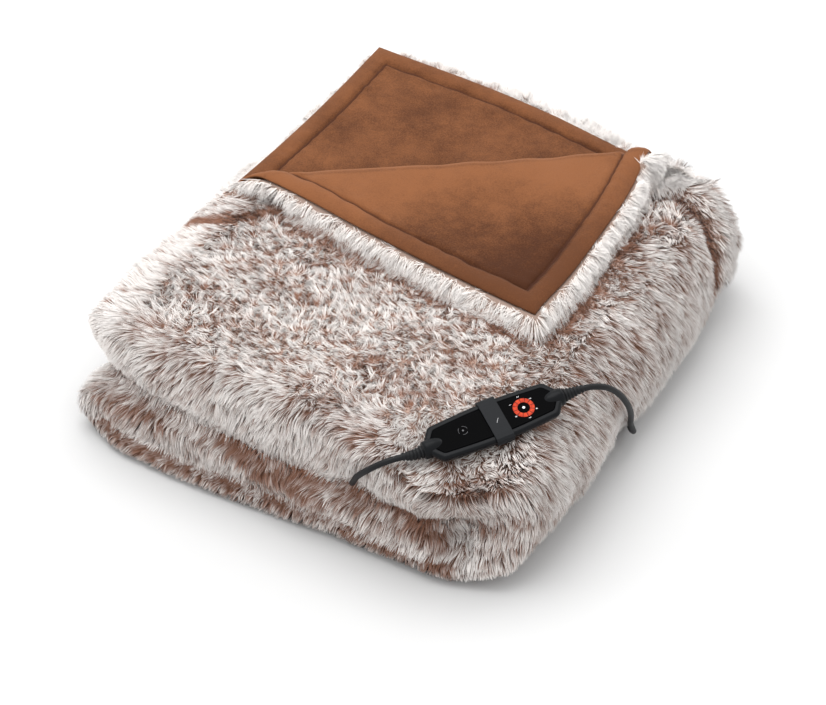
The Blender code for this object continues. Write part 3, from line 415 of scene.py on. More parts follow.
def housing_object(finish):
    """Rows of the outline: a smooth flank from the narrow underside to the rim, a soft-edged rim, and
    the floor of the recess for the plate."""
    flank = smooth_route([(0, *row) for row in HOUSING_FLANK], 0.0009)[:, 1:]
    rim = [(RIM_WIDTH - 0.0005, HANDSET_HEIGHT), (RIM_WIDTH - 0.0001, HANDSET_HEIGHT - 0.00008),
           (RIM_WIDTH, HANDSET_HEIGHT - 0.0003), (RIM_WIDTH, RECESS_FLOOR)]
    rows = np.vstack([flank, rim])
    outlines = np.stack([control_outline(width) for width, _ in rows])
    heights = np.broadcast_to(rows[:, 1, None, None], (*outlines.shape[:2], 1))
    grid = np.concatenate([outlines, heights], axis=2)
    points, faces = grid.reshape(-1, 3), skin_faces(*grid.shape[:2])
    for side in (-1, 1):
        extra, more = gland_dome(side)
        faces = faces + [[v + len(points) for v in face] for face in more]
        points = np.vstack([points, extra])
    return mesh_from("housing_shell", from_control(points), faces, finish)


def plastic_finish(name, colour, roughness, grain, shine):
    """Moulded plastic: fine spark-eroded grain, a little polished in places by handling."""
    finish = Finish(name, Specular_IOR_Level=shine)
    worn = finish.noise(70.0, 3.0)
    fine = finish.noise(2600.0, 2.0)
    finish.feed("Base Color", finish.mix(0.35 * worn + 0.65 * fine, [c * 0.82 for c in colour],
                                         [c * 1.22 for c in colour]))
    finish.feed("Roughness", roughness - 0.10 + 0.20 * worn)
    finish.bump(fine, grain)
    return finish.made


def ring_finish():
    """Lit ring: orange-red fields round it, with a thin dark line between them and at both rims."""
    finish = Finish("lit_ring", Roughness=0.4, Specular_IOR_Level=0.1)
    middle = from_control([(RING_PLACE, 0, RING_TOP)])[0]
    away = finish.node("VectorMath", {"operation": "SUBTRACT"}, inputs=(finish.place(), middle))
    x, y = (finish.node("VectorMath", {"operation": "DOT_PRODUCT"}, 1, (away, on_control[:3, axis]))
            for axis in (0, 1))
    turn = y.math("ARCTAN2", x) * (RING_FIELDS / (2 * math.pi))
    line = ((turn - turn.math("FLOOR")) - 0.5).math("ABSOLUTE").step(0.36, 0.44)
    radius = (x * x + y * y).math("SQRT")
    half = (RING_OUTER - RING_INNER) / 2
    rims = (radius - (RING_INNER + half)).math("ABSOLUTE").step(half - RING_LINE, half)
    glow = finish.noise(500.0).step(0.3, 0.7)
    warm = finish.mix(glow, (0.32, 0.019, 0.006), (0.52, 0.050, 0.012))
    finish.feed("Base Color", finish.mix(line.math("MAXIMUM", rims), warm, (0.12, 0.010, 0.006)))
    return finish.made


def array_of(items, name, width, kind=np.float32):
    """A property of a mesh's items, one row of numbers for each."""
    found = np.empty(len(items) * width, kind)
    items.foreach_get(name, found)
    return found.reshape(-1, width)


def printed(outlines, name, level, finish, body):
    """Printed marks: flat pieces of the control's own plan, just over a level of it."""
    points, faces = np.empty((0, 3)), []
    for flat, flat_faces in outlines:
        faces += [[v + len(points) for v in face] for face in flat_faces]
        points = np.vstack([points, np.column_stack([flat, np.full(len(flat), level + PRINT)])])
    made = mesh_from(name, from_control(points), faces, finish, False)
    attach(made, body)


def numeral(text, x, y):
    """A numeral that reads across the control, with its top towards the heat ring's end."""
    curve = bpy.data.curves.new("numeral", "FONT")
    curve.body, curve.size, curve.align_x, curve.align_y = text, NUMERAL_SIZE, "CENTER", "CENTER"
    letter = placed("numeral", curve)
    mesh = bpy.data.meshes.new_from_object(letter.evaluated_get(bpy.context.evaluated_depsgraph_get()))
    flat = array_of(mesh.vertices, "co", 3)[:, :2]
    faces = [list(face.vertices) for face in mesh.polygons]
    bpy.data.objects.remove(letter)
    return np.column_stack([x + flat[:, 1], y - flat[:, 0]]), faces


def band(place, inner, outer, start=0.0, end=2 * math.pi):
    """A flat arc between two radii."""
    parts = 32
    angle = np.linspace(start, end, parts + 1)
    rim = np.column_stack([np.cos(angle), np.sin(angle)])
    k = np.arange(parts)
    faces = np.column_stack([k + parts + 1, k + parts + 2, k + 1, k]).tolist()
    return np.vstack([rim * inner, rim * outer]) + place, faces


housing = housing_object(plastic_finish("satin_shell", (0.0042, 0.0047, 0.0057), 0.34, 0.000012, 0.10))
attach(housing, "throw")
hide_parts("control_housing")
gloss = plastic_finish("plate_gloss", (0.0010, 0.0010, 0.0012), 0.16, 0.0, 0.012)
grey = plastic_finish("switch_grey", (0.0105, 0.0113, 0.0128), 0.46, 0.00001, 0.08)
for node, finish in (("control_face", gloss), ("heat_cap", gloss), ("heat_ring", ring_finish()),
                     ("control_switch", grey)):
    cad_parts[node].material_slots[0].material = finish
ink = plastic_finish("white_ink", (0.72, 0.72, 0.73), 0.5, 0.0, 0.1)
faint = plastic_finish("grey_ink", (0.10, 0.10, 0.105), 0.5, 0.0, 0.1)
mark = [band(MARK_PLACE, *MARK_ARC, start, start + math.pi * 0.42) for start in (0.1, 2.2, 4.3)]
tick = np.array([(-0.0008, -0.0050), (-0.0005, -0.0050), (0.0024, -0.0012), (0.0021, -0.0012)])
printed([numeral(str(k + 1), *place) for k, place in enumerate(NUMERALS)], "dial_numerals", PLATE_TOP, ink,
        "throw")
printed(mark + [band(MARK_PLACE, 0.0, MARK_DOT)], "dial_mark", PLATE_TOP, faint, "throw")
# A small white dot in the middle of the cap.
printed([band((RING_PLACE, 0.0), 0.0, 0.0013)], "cap_mark", CAP_TOP, ink, "throw")
printed([(tick + (SWITCH_PLACE, 0), [[0, 1, 2, 3]])], "switch_mark", SWITCH_TOP, ink, "switch")


# Fur of the throw. Long soft pile, about 18 mm, brown at the root and off-white at the tip, knitted on
# a thin ground. It shows on both outer sides of every fold and as a fringe past each hem. Its hairs
# are separate surfaces on an even skin, drawn together in tufts.
PILE = 0.0195                     # length of a hair where nothing shortens it
GROUND_INSET = 0.0058             # of the ground under the tips of the pile
THIN_INSET = 0.0020               # the same on the thin turned-back corner
SKIN_CELL = 0.0058
ON_CORNER = 0.1405                # height from which the fur is the turned-back corner's
OPEN_HEM = (0.185, 0.02)          # the laid-open corner's hem: left of this x and behind this y
HEM_REACH = (0.24, -0.02)         # and how far round the bundle its fringe goes
FOOT_END = 0.12                   # y where the foot of the turned-back corner ends
CONTROL_LEVEL = 0.08              # height from which the hand control presses on the fur
FOLD_EDGES = (0.0, 0.0270, 0.0690, 0.1410, 0.2)       # heights of the front's creases, the last over the top
GROOVE = ((0.150, 0.1740), (0.1735, 0.1930), (0.2071, 0.1813), (0.2404, 0.1526))    # under the hem roll
GROOVE_DEPTH, ROLL_HEIGHT, ROLL_PLACE = 0.0090, 0.0060, 0.022
KNEE = 0.48                       # part of a hair below its bend
TUFTS = ((0.0100, 0.34), (0.0034, 0.46))              # size, and how far its tips are drawn together
HAIR_HALF, HAIR_SPREAD = 0.00034, 0.00014             # half width of the thinnest hair, and what others add
HAIRS = 270000
rng = np.random.default_rng(7)

# Kinds of hair: the corners of its faces, where each face starts, and how far across and up the hair
# each of its points is. A ribbon is flat, and a spike has three sides.
RIBBON = ([0, 1, 3, 2, 2, 3, 4], [0, 4], [-1, 1, -1, 1, 0], [0.02, 0.02, 0.5, 0.5, 0.98])
SPIKE = ([1, 0, 3, 0, 2, 3, 2, 1, 3], [0, 3, 6], [-1, 1, 0, 0], [0.02, 0.02, 0.02, 0.98])


def waves(points, length, seed):
    """Smooth unevenness between about -1 and 1: a sum of plane waves in random directions."""
    pick = np.random.default_rng(seed)
    ways = pick.normal(size=(7, 3))
    ways *= (2 * math.pi / length) * pick.uniform(0.6, 1.5, (7, 1)) / np.linalg.norm(ways, axis=1)[:, None]
    return np.sin(points @ ways.T + pick.uniform(0, 6.28, 7)).sum(axis=1) / 3.2


def bell(values, width):
    """A bell curve: 1 at 0, and 1/e at the width to both sides."""
    return np.exp(-(values / width) ** 2)


def groove_distance(points):
    """Plan distance from the groove line at the back right, more than 0 on its back side."""
    line = np.array(GROOVE)
    a, way = line[:-1], np.diff(line, axis=0)
    t = np.clip(((points[:, None, :2] - a) * way).sum(axis=2) / (way ** 2).sum(axis=1), 0, 1)
    away = points[:, None, :2] - a - t[..., None] * way
    far = np.linalg.norm(away, axis=2)
    near = far.argmin(axis=1)
    pick = np.arange(len(points))
    side = way[near, 0] * away[pick, near, 1] - way[near, 1] * away[pick, near, 0]
    return far[pick, near] * np.sign(side)


def mended(mesh, change):
    """Changes a mesh in place by one of bmesh's operations."""
    work = bmesh.new()
    work.from_mesh(mesh)
    change(work)
    work.to_mesh(mesh)
    work.free()


def on_shoulder(points):
    """The part of the ground that the groove and the hem roll behind it can shape."""
    return (points[:, 2] > 0.06) & (points[:, 0] > 0.12)


def ground_object(finish):
    """The ground of the fur: an even skin over the folds, drawn in from the tips of the pile. Bell
    curves across the groove line sink the groove and raise the roll."""
    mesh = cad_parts["blanket_fur"].data.copy()
    mended(mesh, lambda work: bmesh.ops.remove_doubles(work, verts=work.verts, dist=1e-6))
    made = placed("fur_ground", mesh)
    skin = made.modifiers.new("skin", "REMESH")
    skin.mode, skin.voxel_size = "VOXEL", SKIN_CELL
    soft = made.modifiers.new("soft", "SMOOTH")
    soft.factor, soft.iterations = 0.5, 4
    mesh = bpy.data.meshes.new_from_object(made.evaluated_get(bpy.context.evaluated_depsgraph_get()))
    made.modifiers.clear()
    made.data = mesh
    points, normals = array_of(mesh.vertices, "co", 3), array_of(mesh.vertices, "normal", 3)
    drawn = GROUND_INSET + (THIN_INSET - GROUND_INSET) * ramp(points[:, 2], 0.143, 0.148)
    groove = groove_distance(points)
    sunk = GROOVE_DEPTH * bell(groove, 0.009) - ROLL_HEIGHT * bell(groove - ROLL_PLACE, 0.013)
    drawn += on_shoulder(points) * sunk
    points -= normals * drawn[:, None]
    points[:, 2] = np.maximum(points[:, 2], 0.0)
    mesh.vertices.foreach_set("co", points.ravel())
    mesh.materials.clear()
    mesh.materials.append(finish)
    mesh.polygons.foreach_set("use_smooth", [True] * len(mesh.polygons))
    return made


def room_tree(skin, roof, others):
    """Geometry nodes that keep, for every point of the ground, how far a hair there can reach before
    it meets the throw itself (room) or the roof, how near each of the other pieces is, and the nearest
    place of the roof."""
    start_lift, longest = 0.001, 0.06
    tree = bpy.data.node_groups.new("room", "GeometryNodeTree")
    for way in ("INPUT", "OUTPUT"):
        tree.interface.new_socket("Geometry", in_out=way, socket_type="NodeSocketGeometry")
    start = flow = add_node(tree, "NodeGroupInput").outputs[0]
    normal = add_node(tree, "GeometryNodeInputNormal").outputs[0]
    place = add_node(tree, "GeometryNodeInputPosition").outputs[0]
    lifted = add_node(tree, "ShaderNodeVectorMath", {"operation": "MULTIPLY_ADD"},
                      (normal, (start_lift,) * 3, place)).outputs[0]

    def keep(name, value, kind="FLOAT"):
        nonlocal flow
        flow = add_node(tree, "GeometryNodeStoreNamedAttribute", {"data_type": kind, "domain": "POINT"},
                        Geometry=flow, Name=name, Value=value).outputs[0]

    def shape_of(other):
        return add_node(tree, "GeometryNodeObjectInfo", Object=other).outputs["Geometry"]

    def reach(name, target):
        ray = add_node(tree, "GeometryNodeRaycast", Target_Geometry=target, Source_Position=lifted,
                       Ray_Direction=normal, Ray_Length=longest).outputs
        keep(name, add_node(tree, "GeometryNodeSwitch", {"input_type": "FLOAT"},
                            (ray["Is Hit"], longest, ray["Hit Distance"])).outputs[0])

    reach("room", start)
    reach("roof", shape_of(roof))
    for name, other in others.items():
        near = add_node(tree, "GeometryNodeProximity", {"target_element": "FACES"},
                        (shape_of(other),)).outputs
        keep(name, near["Distance"])
        if other == roof:
            keep("roof_place", near["Position"], "FLOAT_VECTOR")
    add_node(tree, "NodeGroupOutput", inputs=(flow,))
    skin.modifiers.new("room", "NODES").node_group = tree


def ground_facts(skin):
    """What room_tree finds for the points of the ground, by name."""
    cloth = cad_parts["blanket_lining"]
    others = {"to_lining": cloth, "to_blanket_lead": bpy.data.objects["lead_of_blanket"],
              "to_mains_lead": bpy.data.objects["lead_of_mains"]}
    room_tree(skin, cloth, others)
    seen = skin.evaluated_get(bpy.context.evaluated_depsgraph_get()).data.attributes
    facts = {name: array_of(seen[name].data, "value", 1)[:, 0].astype(float)
             for name in ("room", "roof", *others)}
    facts["lining_place"] = array_of(seen["roof_place"].data, "vector", 3).astype(float)
    skin.modifiers.clear()
    return facts


def ground_finish():
    finish = Finish("fur_roots", Roughness=0.9, Specular_IOR_Level=0.04)
    patch = finish.noise(26.0, 3.0)
    fine = finish.noise(420.0, 3.0, 0.7)
    below = finish.mix((0.7 * fine + 0.3 * patch).step(0.42, 0.58), (0.105, 0.052, 0.037),
                       (0.40, 0.285, 0.235))
    height = finish.node("SeparateXYZ", output=2, inputs=(finish.place(),))
    below = finish.mix(height.step(ON_CORNER, ON_CORNER + 0.0045), below, (0.27, 0.195, 0.160))
    # Painted shade: the ground turns near black in the groove and at the turned-back corner's foot.
    hollow_shade = finish.node("Attribute", {"attribute_name": "hollow_shade"}, output=2)
    finish.feed("Base Color", finish.mix(0.85 * hollow_shade.step(0.2, 0.9), below, (0.045, 0.026, 0.024)))
    finish.bump(fine, 0.0012)
    return finish.made


def hair_finish():
    """Across the map runs a hair's own tone, up it the way from root to tip."""
    finish = Finish("fur_hairs", Roughness=0.62, Specular_IOR_Level=0.04)
    uv = finish.node("UVMap", {"uv_map": "OFBake"})
    tone, way = (finish.node("SeparateXYZ", output=axis, inputs=(uv,)) for axis in (0, 1))
    rise = (way + 0.66 * tone).step(0.50, 1.26)
    tip = finish.mix(tone.step(0.0, 0.62), (0.35, 0.215, 0.168), (0.84, 0.800, 0.772))
    root = finish.mix(tone.step(0.50, 1.0), (0.235, 0.115, 0.076), (0.70, 0.610, 0.560))
    finish.feed("Base Color", finish.mix(rise, root, tip))
    return finish.made


def shaded_hollows(points, normals, to_lining):
    """From 0 to 1 where painted shade darkens the ground in a hollow: the groove, and the turned-back
    corner's foot.
    """
    foot = bell(to_lining - 0.023, 0.008) * (points[:, 2] < ON_CORNER) * (points[:, 1] < FOOT_END)
    return np.maximum(on_shoulder(points) * bell(groove_distance(points), 0.005),
                      0.7 * foot * (normals[:, 2] > 0.6))


def hair_density(points, normals, facts):
    """How close the hairs stand at each point of the ground. It falls where the throw lies near over
    itself, under the lining, in the groove, underneath and on the sides that lie away, it is none
    under the hand control and on the floor, and it grows along the hems, the left loop and the front."""
    x, y, z = points.T
    uncovered = ramp(facts["roof"], 0.030, 0.032) * ramp(facts["to_lining"], 0.0019, 0.0025)
    density = np.maximum(ramp(facts["room"], 0.003, 0.015), 0.12) * uncovered
    density[(control_distance(points) < -0.010) & (z > CONTROL_LEVEL)] = 0.0
    density[z < 0.002] = 0.0
    density *= 1 - 0.8 * on_shoulder(points) * bell(groove_distance(points), 0.0045)
    density[normals[:, 2] < -0.6] *= 0.35
    density[(normals[:, 1] > 0.6) | (normals[:, 0] < -0.75)] *= 0.5
    hem_near = ramp(facts["to_lining"], 0.018, 0.012) * (y > HEM_REACH[1])
    below_corner = (z < ON_CORNER) & (y > OPEN_HEM[1])
    density *= 1 + hem_near * np.where(below_corner, 9.0, 5.0) + 0.6 * (x < -0.2) * (z > 0.1)
    density *= 1 + (0.35 + 0.6 * (z < 0.03)) * (y < -0.25)
    open_rim = hem_near * ramp(z, 0.112, 0.116) * below_corner * (x < OPEN_HEM[0]) * (normals[:, 2] > -0.4)
    return np.maximum(density, 10 * open_rim * uncovered)


def scatter(skin, density, count):
    """Random places on the ground, as many on each triangle as its area and density ask."""
    mesh = skin.data
    mesh.calc_loop_triangles()
    corners = array_of(mesh.loop_triangles, "vertices", 3, np.int32)
    points = array_of(mesh.vertices, "co", 3).astype(float)
    a, b, c = (points[corners[:, i]] for i in range(3))
    share = np.linalg.norm(np.cross(b - a, c - a), axis=1) * density[corners].mean(axis=1)
    pick = rng.choice(len(corners), count, p=share / share.sum())
    u, v = rng.random(count), rng.random(count)
    over = u + v > 1
    u, v = np.where(over, 1 - u, u), np.where(over, 1 - v, v)
    return corners[pick], np.column_stack([1 - u - v, u, v])


def drawn_together(points, roots, size, pull):
    """Points pulled to the middle of their tuft. A tuft is the hairs whose roots are nearest to one
    seed, and each cell of a grid has one seed at a random place in it."""
    near = np.stack(np.meshgrid(*[(-1, 0, 1)] * 3), axis=-1).reshape(1, -1, 3)
    cell = np.floor(roots / size)[:, None] + near
    mixing = np.array([(127.1, 269.5, 113.5), (311.7, 183.3, 271.9), (74.7, 246.1, 124.6)])
    seed = cell + np.abs(np.sin(cell @ mixing) * 43758.5453) % 1.0
    nearest = ((seed - roots[:, None] / size) ** 2).sum(axis=2).argmin(axis=1)
    mine = cell[np.arange(len(roots)), nearest].astype(int)
    _, tuft = np.unique(mine, axis=0, return_inverse=True)
    tuft = tuft.ravel()
    many = np.bincount(tuft)
    middle = np.column_stack([np.bincount(tuft, points[:, i]) / many for i in range(3)])[tuft]
    return points + pull[:, None] * (middle - points)


def control_distance(points):
    """Distance outward from the sides of the hand control, measured in its plan, less than 0 inside."""
    along, across = np.abs(to_control(points)[:, :2]).T
    shoulder = HANDSET_LENGTH / 2 - END_TAPER
    half = HANDSET_WIDTH / 2 - WAIST * ramp(along, 0, shoulder)
    half += (END_WIDTH / 2 - HANDSET_WIDTH / 2 + WAIST) * ramp(along, shoulder, HANDSET_LENGTH / 2)
    return np.maximum(along - HANDSET_LENGTH / 2, across - half)


def cleared(points):
    """Points of hairs pressed down where the hand control lies on them: they reach up its lowest
    4 mm, and rise from there with the distance from it."""
    away, height = control_distance(points), to_control(points)[:, 2]
    limit = 0.0045 * ramp(away, -0.004, 0) - 0.0006 + 1.6 * np.clip(away, 0, None)
    over = np.where((points[:, 2] > CONTROL_LEVEL) & (away < 0.02), np.clip(height - limit, 0, None), 0)
    return points - over[:, None] * on_control[:3, 2]


def over_ground(normals, flow):
    """Directions of flow, laid down on the ground."""
    return unit(flow - (flow * normals).sum(axis=1)[:, None] * normals)


def leaned(normals, ahead, angle):
    """Directions that lean by an angle from the ground's normal."""
    return np.cos(angle)[:, None] * normals + np.sin(angle)[:, None] * ahead


def hair_object(name, kind, finish, roots, normals, lit, lean, curl, flow, tone, length, gather):
    """Hairs as flat tapering ribbons of two pieces, or as straight spikes of three sides where they
    stand up and are seen from all round. A hair leaves the ground at an angle to it, leans over
    further up, and its tip is drawn to the middle of the tips of its tuft. Its shading normal stays
    near the ground's, as light scatters from hair to hair."""
    count = len(roots)
    ahead = over_ground(normals, flow)
    knee = roots + KNEE * length[:, None] * leaned(normals, ahead, lean * 0.72)
    tip = knee + (1 - KNEE) * length[:, None] * leaned(normals, ahead, np.clip(lean * 1.25 + curl, 0, 1.5))
    for (size, pull), share in zip(TUFTS, gather.T):
        tip = drawn_together(tip, roots, size, pull * share)
        knee = drawn_together(knee, roots, size, 0.35 * pull * share)
    knee, tip = cleared(knee), cleared(tip)
    side = unit(np.cross(tip - roots, normals + 0.5 * rng.normal(size=(count, 3))))
    wide = (HAIR_HALF + HAIR_SPREAD * rng.random(count))[:, None]
    roots = roots - 0.0008 * normals
    out, side = wide * unit(np.cross(side, tip - roots)), wide * side
    if kind is SPIKE:
        shape = [roots - 1.1 * side, roots + 1.1 * side, roots + 1.5 * out, tip]
    else:
        shape = [roots - side, roots + side, knee - side * 0.85, knee + side * 0.85, tip]
    points = np.stack(shape, axis=1).reshape(-1, 3)
    points[:, 2] = np.maximum(points[:, 2], 0.0004)
    corners, starts, across, up = (np.array(part) for part in kind)
    each = np.arange(count)[:, None]
    mesh = bpy.data.meshes.new(name)
    mesh.vertices.add(len(points))
    mesh.vertices.foreach_set("co", points.ravel())
    mesh.loops.add(len(corners) * count)
    mesh.loops.foreach_set("vertex_index", (len(shape) * each + corners).ravel())
    mesh.polygons.add(len(starts) * count)
    mesh.polygons.foreach_set("loop_start", (len(corners) * each + starts).ravel())
    mesh.polygons.foreach_set("use_smooth", np.ones(len(starts) * count, bool))
    mesh.update(calc_edges=True)
    uv = mesh.uv_layers.new(name="OFBake")
    spread, up = 0.01 + 0.98 * tone[:, None] + 0.004 * across[corners], up[corners]
    uv.uv.foreach_set("vector", np.stack([spread, np.broadcast_to(up, spread.shape)], axis=2).ravel())
    shade = unit(lit + 0.25 * unit(tip - knee) + 0.10 * rng.normal(size=(count, 3)))
    mesh.normals_split_custom_set_from_vertices(np.repeat(shade, len(shape), axis=0))
    mesh.materials.append(finish)
    return placed(name, mesh)


ground = ground_object(ground_finish())
facts = ground_facts(ground)
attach(ground, "throw")
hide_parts("blanket_fur")
ground_points, ground_normals = (array_of(ground.data.vertices, name, 3).astype(float)
                                 for name in ("co", "normal"))
# Painted shade of the ground in its hollows, kept on its points for the ground's finish.
hollow_shade = shaded_hollows(ground_points, ground_normals, facts["to_lining"])
ground.data.attributes.new("hollow_shade", "FLOAT", "POINT").data.foreach_set("value", hollow_shade.astype(np.float32))
corners, weight = scatter(ground, hair_density(ground_points, ground_normals, facts), HAIRS)


def at_roots(values):
    """Values of the ground's points, read at the roots of the hairs."""
    return (values[corners] * (weight if values.ndim == 1 else weight[..., None])).sum(axis=1)


roots, normals = at_roots(ground_points), unit(at_roots(ground_normals))
to_lining, lining_place = at_roots(facts["to_lining"]), at_roots(facts["lining_place"])
from_lining = unit(roots - lining_place)
to_lead = at_roots(np.minimum(facts["to_blanket_lead"], facts["to_mains_lead"]))
x, y, z = roots.T
rise = normals[:, 2]

# Parts of the throw that have their own look, each up to 1 on that part.
top = ramp(rise, 0.55, 0.85) * ramp(z, 0.10, 0.12)
left_rim = ramp(x, -0.196, -0.216) * ramp(z, 0.07, 0.08)
on_corner = ramp(z, ON_CORNER, ON_CORNER + 0.002)
fringe = ramp(to_lining, 0.017, 0.011) * np.maximum(on_corner, (y > HEM_REACH[1]) * (x < HEM_REACH[0]))
open_hem = fringe * ramp(rise, 0.6, 0.0) * (1 - on_corner) * ((y > OPEN_HEM[1]) & (x < OPEN_HEM[0]))
wrap = ramp(x - 0.012 * waves(roots, 0.06, 21), 0.165, 0.195)
front = ramp(y, -0.262, -0.282) * (1 - wrap)
front_corner = ramp(x, 0.11, 0.15) * ramp(y, -0.215, -0.245)
inland = top * (1 - fringe) * (1 - left_rim) * (1 - wrap) * ramp(y, -0.285, -0.225) * ramp(x, -0.21, -0.16)
# Where the flap's painted shadow falls: a band in front of the turned-back corner's hem, with shorter and
# darker hairs.
shadow_under_flap = top * (1 - on_corner) * bell(to_lining - 0.025, 0.008) * (y < FOOT_END)
groove = groove_distance(roots)
by_groove = (x > 0.13) * (z > 0.05)
roll = ramp(groove, 0, 0.006) * ramp(groove, 0.05, 0.03) * by_groove
fold = np.searchsorted(FOLD_EDGES, z, side="right") - 1
up_fold = ramp(z, np.take(FOLD_EDGES, fold), np.take(FOLD_EDGES, fold + 1))
low_fold = ramp(z, FOLD_EDGES[1] + 0.002, FOLD_EDGES[1] - 0.002)
ragged = 0.5 + 0.5 * waves(roots, 0.045, 22)

# The way that the pile lies: down and to the front, in swirls on top, and outward over every hem.
flow = np.column_stack([-0.20 + 0.5 * waves(roots, 0.085, 11) + 0.4 * waves(roots, 0.03, 12),
                        -0.75 + 0.5 * waves(roots, 0.085, 13) + 0.4 * waves(roots, 0.03, 14),
                        -0.75 + 0.2 * waves(roots, 0.06, 15)])
swirl = np.column_stack([waves(roots, 0.011, seed) for seed in (23, 24, 25)])
flow += 1.9 * inland[:, None] * swirl
flow += wrap[:, None] * (0.95, 0.30, -0.35) + left_rim[:, None] * (-1.4, 0.3, -0.2)
flow += front[:, None] * (-0.05, -0.4, -0.5)
flow += fringe[:, None] * (2.4 * from_lining + 2.0 * swirl + 0.5 * rng.normal(size=(HAIRS, 3)))
flow += open_hem[:, None] * (0, 0, 4.5) + roll[:, None] * (1.6, -0.5, -0.3)
inward = np.clip(-(flow * from_lining).sum(axis=1), 0, None)
flow += (fringe * on_corner * inward)[:, None] * from_lining

# How far a hair leans, in radians: over at the rims and the leads, and more upright on the open hem.
upright = 0.5 * (1 + waves(roots, 0.11, 16))
lean = (0.86 + 0.22 * upright) * (1 - 0.22 * inland) + 0.14 * rng.normal(size=HAIRS)
lean += 0.30 * left_rim + 0.30 * fringe - 0.48 * open_hem - 0.25 * low_fold * front
lean += 0.45 * ramp(to_lead, 0.014, 0) + 0.55 * fringe * on_corner * np.clip(rise, 0, 1)
lean = np.clip(lean, 0.05, None)

# Its length: short on top, on the lowest fold and at a lead, and a stub where it would cross the lining.
length = PILE * (0.82 + 0.22 * rng.random(HAIRS)) * (1 + 0.10 * waves(roots, 0.05, 17))
length *= (1 - 0.42 * inland) * (1 - 0.45 * low_fold) * (1 - 0.12 * wrap) * (1 - 0.35 * left_rim)
length *= 1 - 0.35 * shadow_under_flap
reached = roots + length[:, None] * leaned(normals, over_ground(normals, flow), lean)
root_gap, tip_gap = (np.linalg.norm(ends - lining_place, axis=1) for ends in (roots, reached))
length *= np.where((tip_gap < root_gap + 0.002) & (fringe > 0.0), 0.12, 1.0)
length *= 0.30 + 0.70 * ramp(to_lead, 0.001, 0.017)
length *= 1 - 0.55 * bell(groove + 0.004, 0.010) * by_groove

# How much it is drawn into the large and the small tufts, where its light comes from, and its tone:
# dark at 0 and off-white at 1.
gather = np.column_stack([1.0 - 0.75 * inland + 0.25 * front - 0.7 * fringe + 0.3 * left_rim,
                          1.0 + 0.25 * front - 0.6 * fringe])
lit = normals * (1 - 0.6 * fringe - 0.4 * open_hem)[:, None]
lit += (fringe + 0.3 * left_rim)[:, None] * (0, 0, 0.45)
tone = 0.70 + 0.10 * rng.normal(size=HAIRS) + (0.10 + 0.08 * inland) * waves(roots, 0.060, 18)
tone += (0.16 + 0.10 * inland) * waves(roots, 0.010, 19)
tone -= front * up_fold * (0.50 * (fold < 2) * (0.6 + 0.8 * ragged) + 0.10 * (fold == 2)) + 0.07 * front
# Painted shadow of the flap darkens the hairs just in front of its hem.
tone -= 0.90 * shadow_under_flap + wrap * (0.10 - 0.13 * waves(roots, 0.030, 26)) + 0.20 * front_corner * ragged
# Painted shade darkens the hairs in the groove under the hem roll.
tone -= 0.9 * bell(groove + 0.003, 0.008) * by_groove
tone += 0.30 * fringe - 0.35 * open_hem + 0.06 * left_rim + 0.06 * roll

pile = {"roots": roots, "normals": normals, "lit": lit, "lean": lean, "curl": 0.20 * inland, "flow": flow,
        "tone": np.clip(tone, 0, 1), "length": length, "gather": np.clip(gather, 0.08, 1.5)}
regions = {
    "fur_of_open_corner": (SPIKE, open_hem > 0.3),
    "fur_of_corner": (SPIKE, z > ON_CORNER),
    "fur_of_top": (SPIKE, (rise > 0.6) & (x < 0.0)),
    "fur_of_top_right": (SPIKE, (rise > 0.6) & (x < 0.19)),
    "fur_of_front": (RIBBON, normals[:, 1] < -0.35),
    "fur_of_wrap": (SPIKE, normals[:, 0] > 0.2),
    "fur_of_back": (RIBBON, normals[:, 1] > 0.35),
    "fur_of_left_and_below": (RIBBON, np.ones(HAIRS, bool))}
hair = hair_finish()
unused = np.ones(HAIRS, bool)
for name, (kind, region) in regions.items():
    mine = unused & region
    unused &= ~region
    print(name, int(mine.sum()), "hairs")
    made = hair_object(name, kind, hair, **{fact: values[mine] for fact, values in pile.items()})
    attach(made, "throw")


# Lining of the turned-back corner. Brown short-pile plush, sewn to the fur cloth and stitched again
# 24 mm in from the edge. It lies open at the back left, turns under the loop of the fold, goes round
# the loop and lies on top of the turned-back corner.
BUNDLE_HEIGHT = 0.141
RIDGE_START, RIDGE_ANGLE = (-0.194, -0.0285), math.radians(35.0)
LINING = 0.0026
CORNER_LEVEL = 0.1265
CORNER_POINT, CORNER_CUT, CORNER_ENDS = (0.1493, 0.2984), (0.4402, 0.024), (-0.054, 0.439)
TUCK_RADIUS, LOOP_RADIUS = 0.0022, 0.0165
LOOP_ENDS, CREST_ENDS, FLAP_POINT = (-0.050, 0.436), (0.003, 0.405), (0.257, 0.246)
FLAP_LEVEL, FLAP_SETTLE, FLAP_WAVE = 0.1560, 0.062, 0.0022
HEM, STITCH_WIDTH, STITCH_DEPTH = 0.024, 0.0036, 0.0030
CLOTH_PITCH = 0.0046
LOOP_FOOT = -math.pi * LOOP_RADIUS
TUCK_END = LOOP_FOOT - math.pi * TUCK_RADIUS
LOOP_LOW = CORNER_LEVEL + 2 * TUCK_RADIUS


def settled(points):
    """Sag and bulge of the whole bundle: heights scale a little, and the edges wander. The right side
    is nipped in at its middle and draws in towards the back."""
    x, y, z = np.array(points, float).T
    height = z / BUNDLE_HEIGHT
    z = z * (1 + 0.018 * np.sin(9 * x + 5 * y + 0.6) + 0.014 * np.sin(-7 * x + 13 * y + 2.2))
    y = y + 0.0035 * np.sin(15 * x + 9 * height + 0.5)
    x = x + 0.0030 * np.sin(12 * y + 5 * height + 1.1)
    x = x - ramp(x, 0, 0.2) * (0.008 * bell(y + 0.075, 0.045) + 0.024 * ramp(y, 0.10, 0.27) ** 2)
    return np.stack([x, y, z], axis=1)


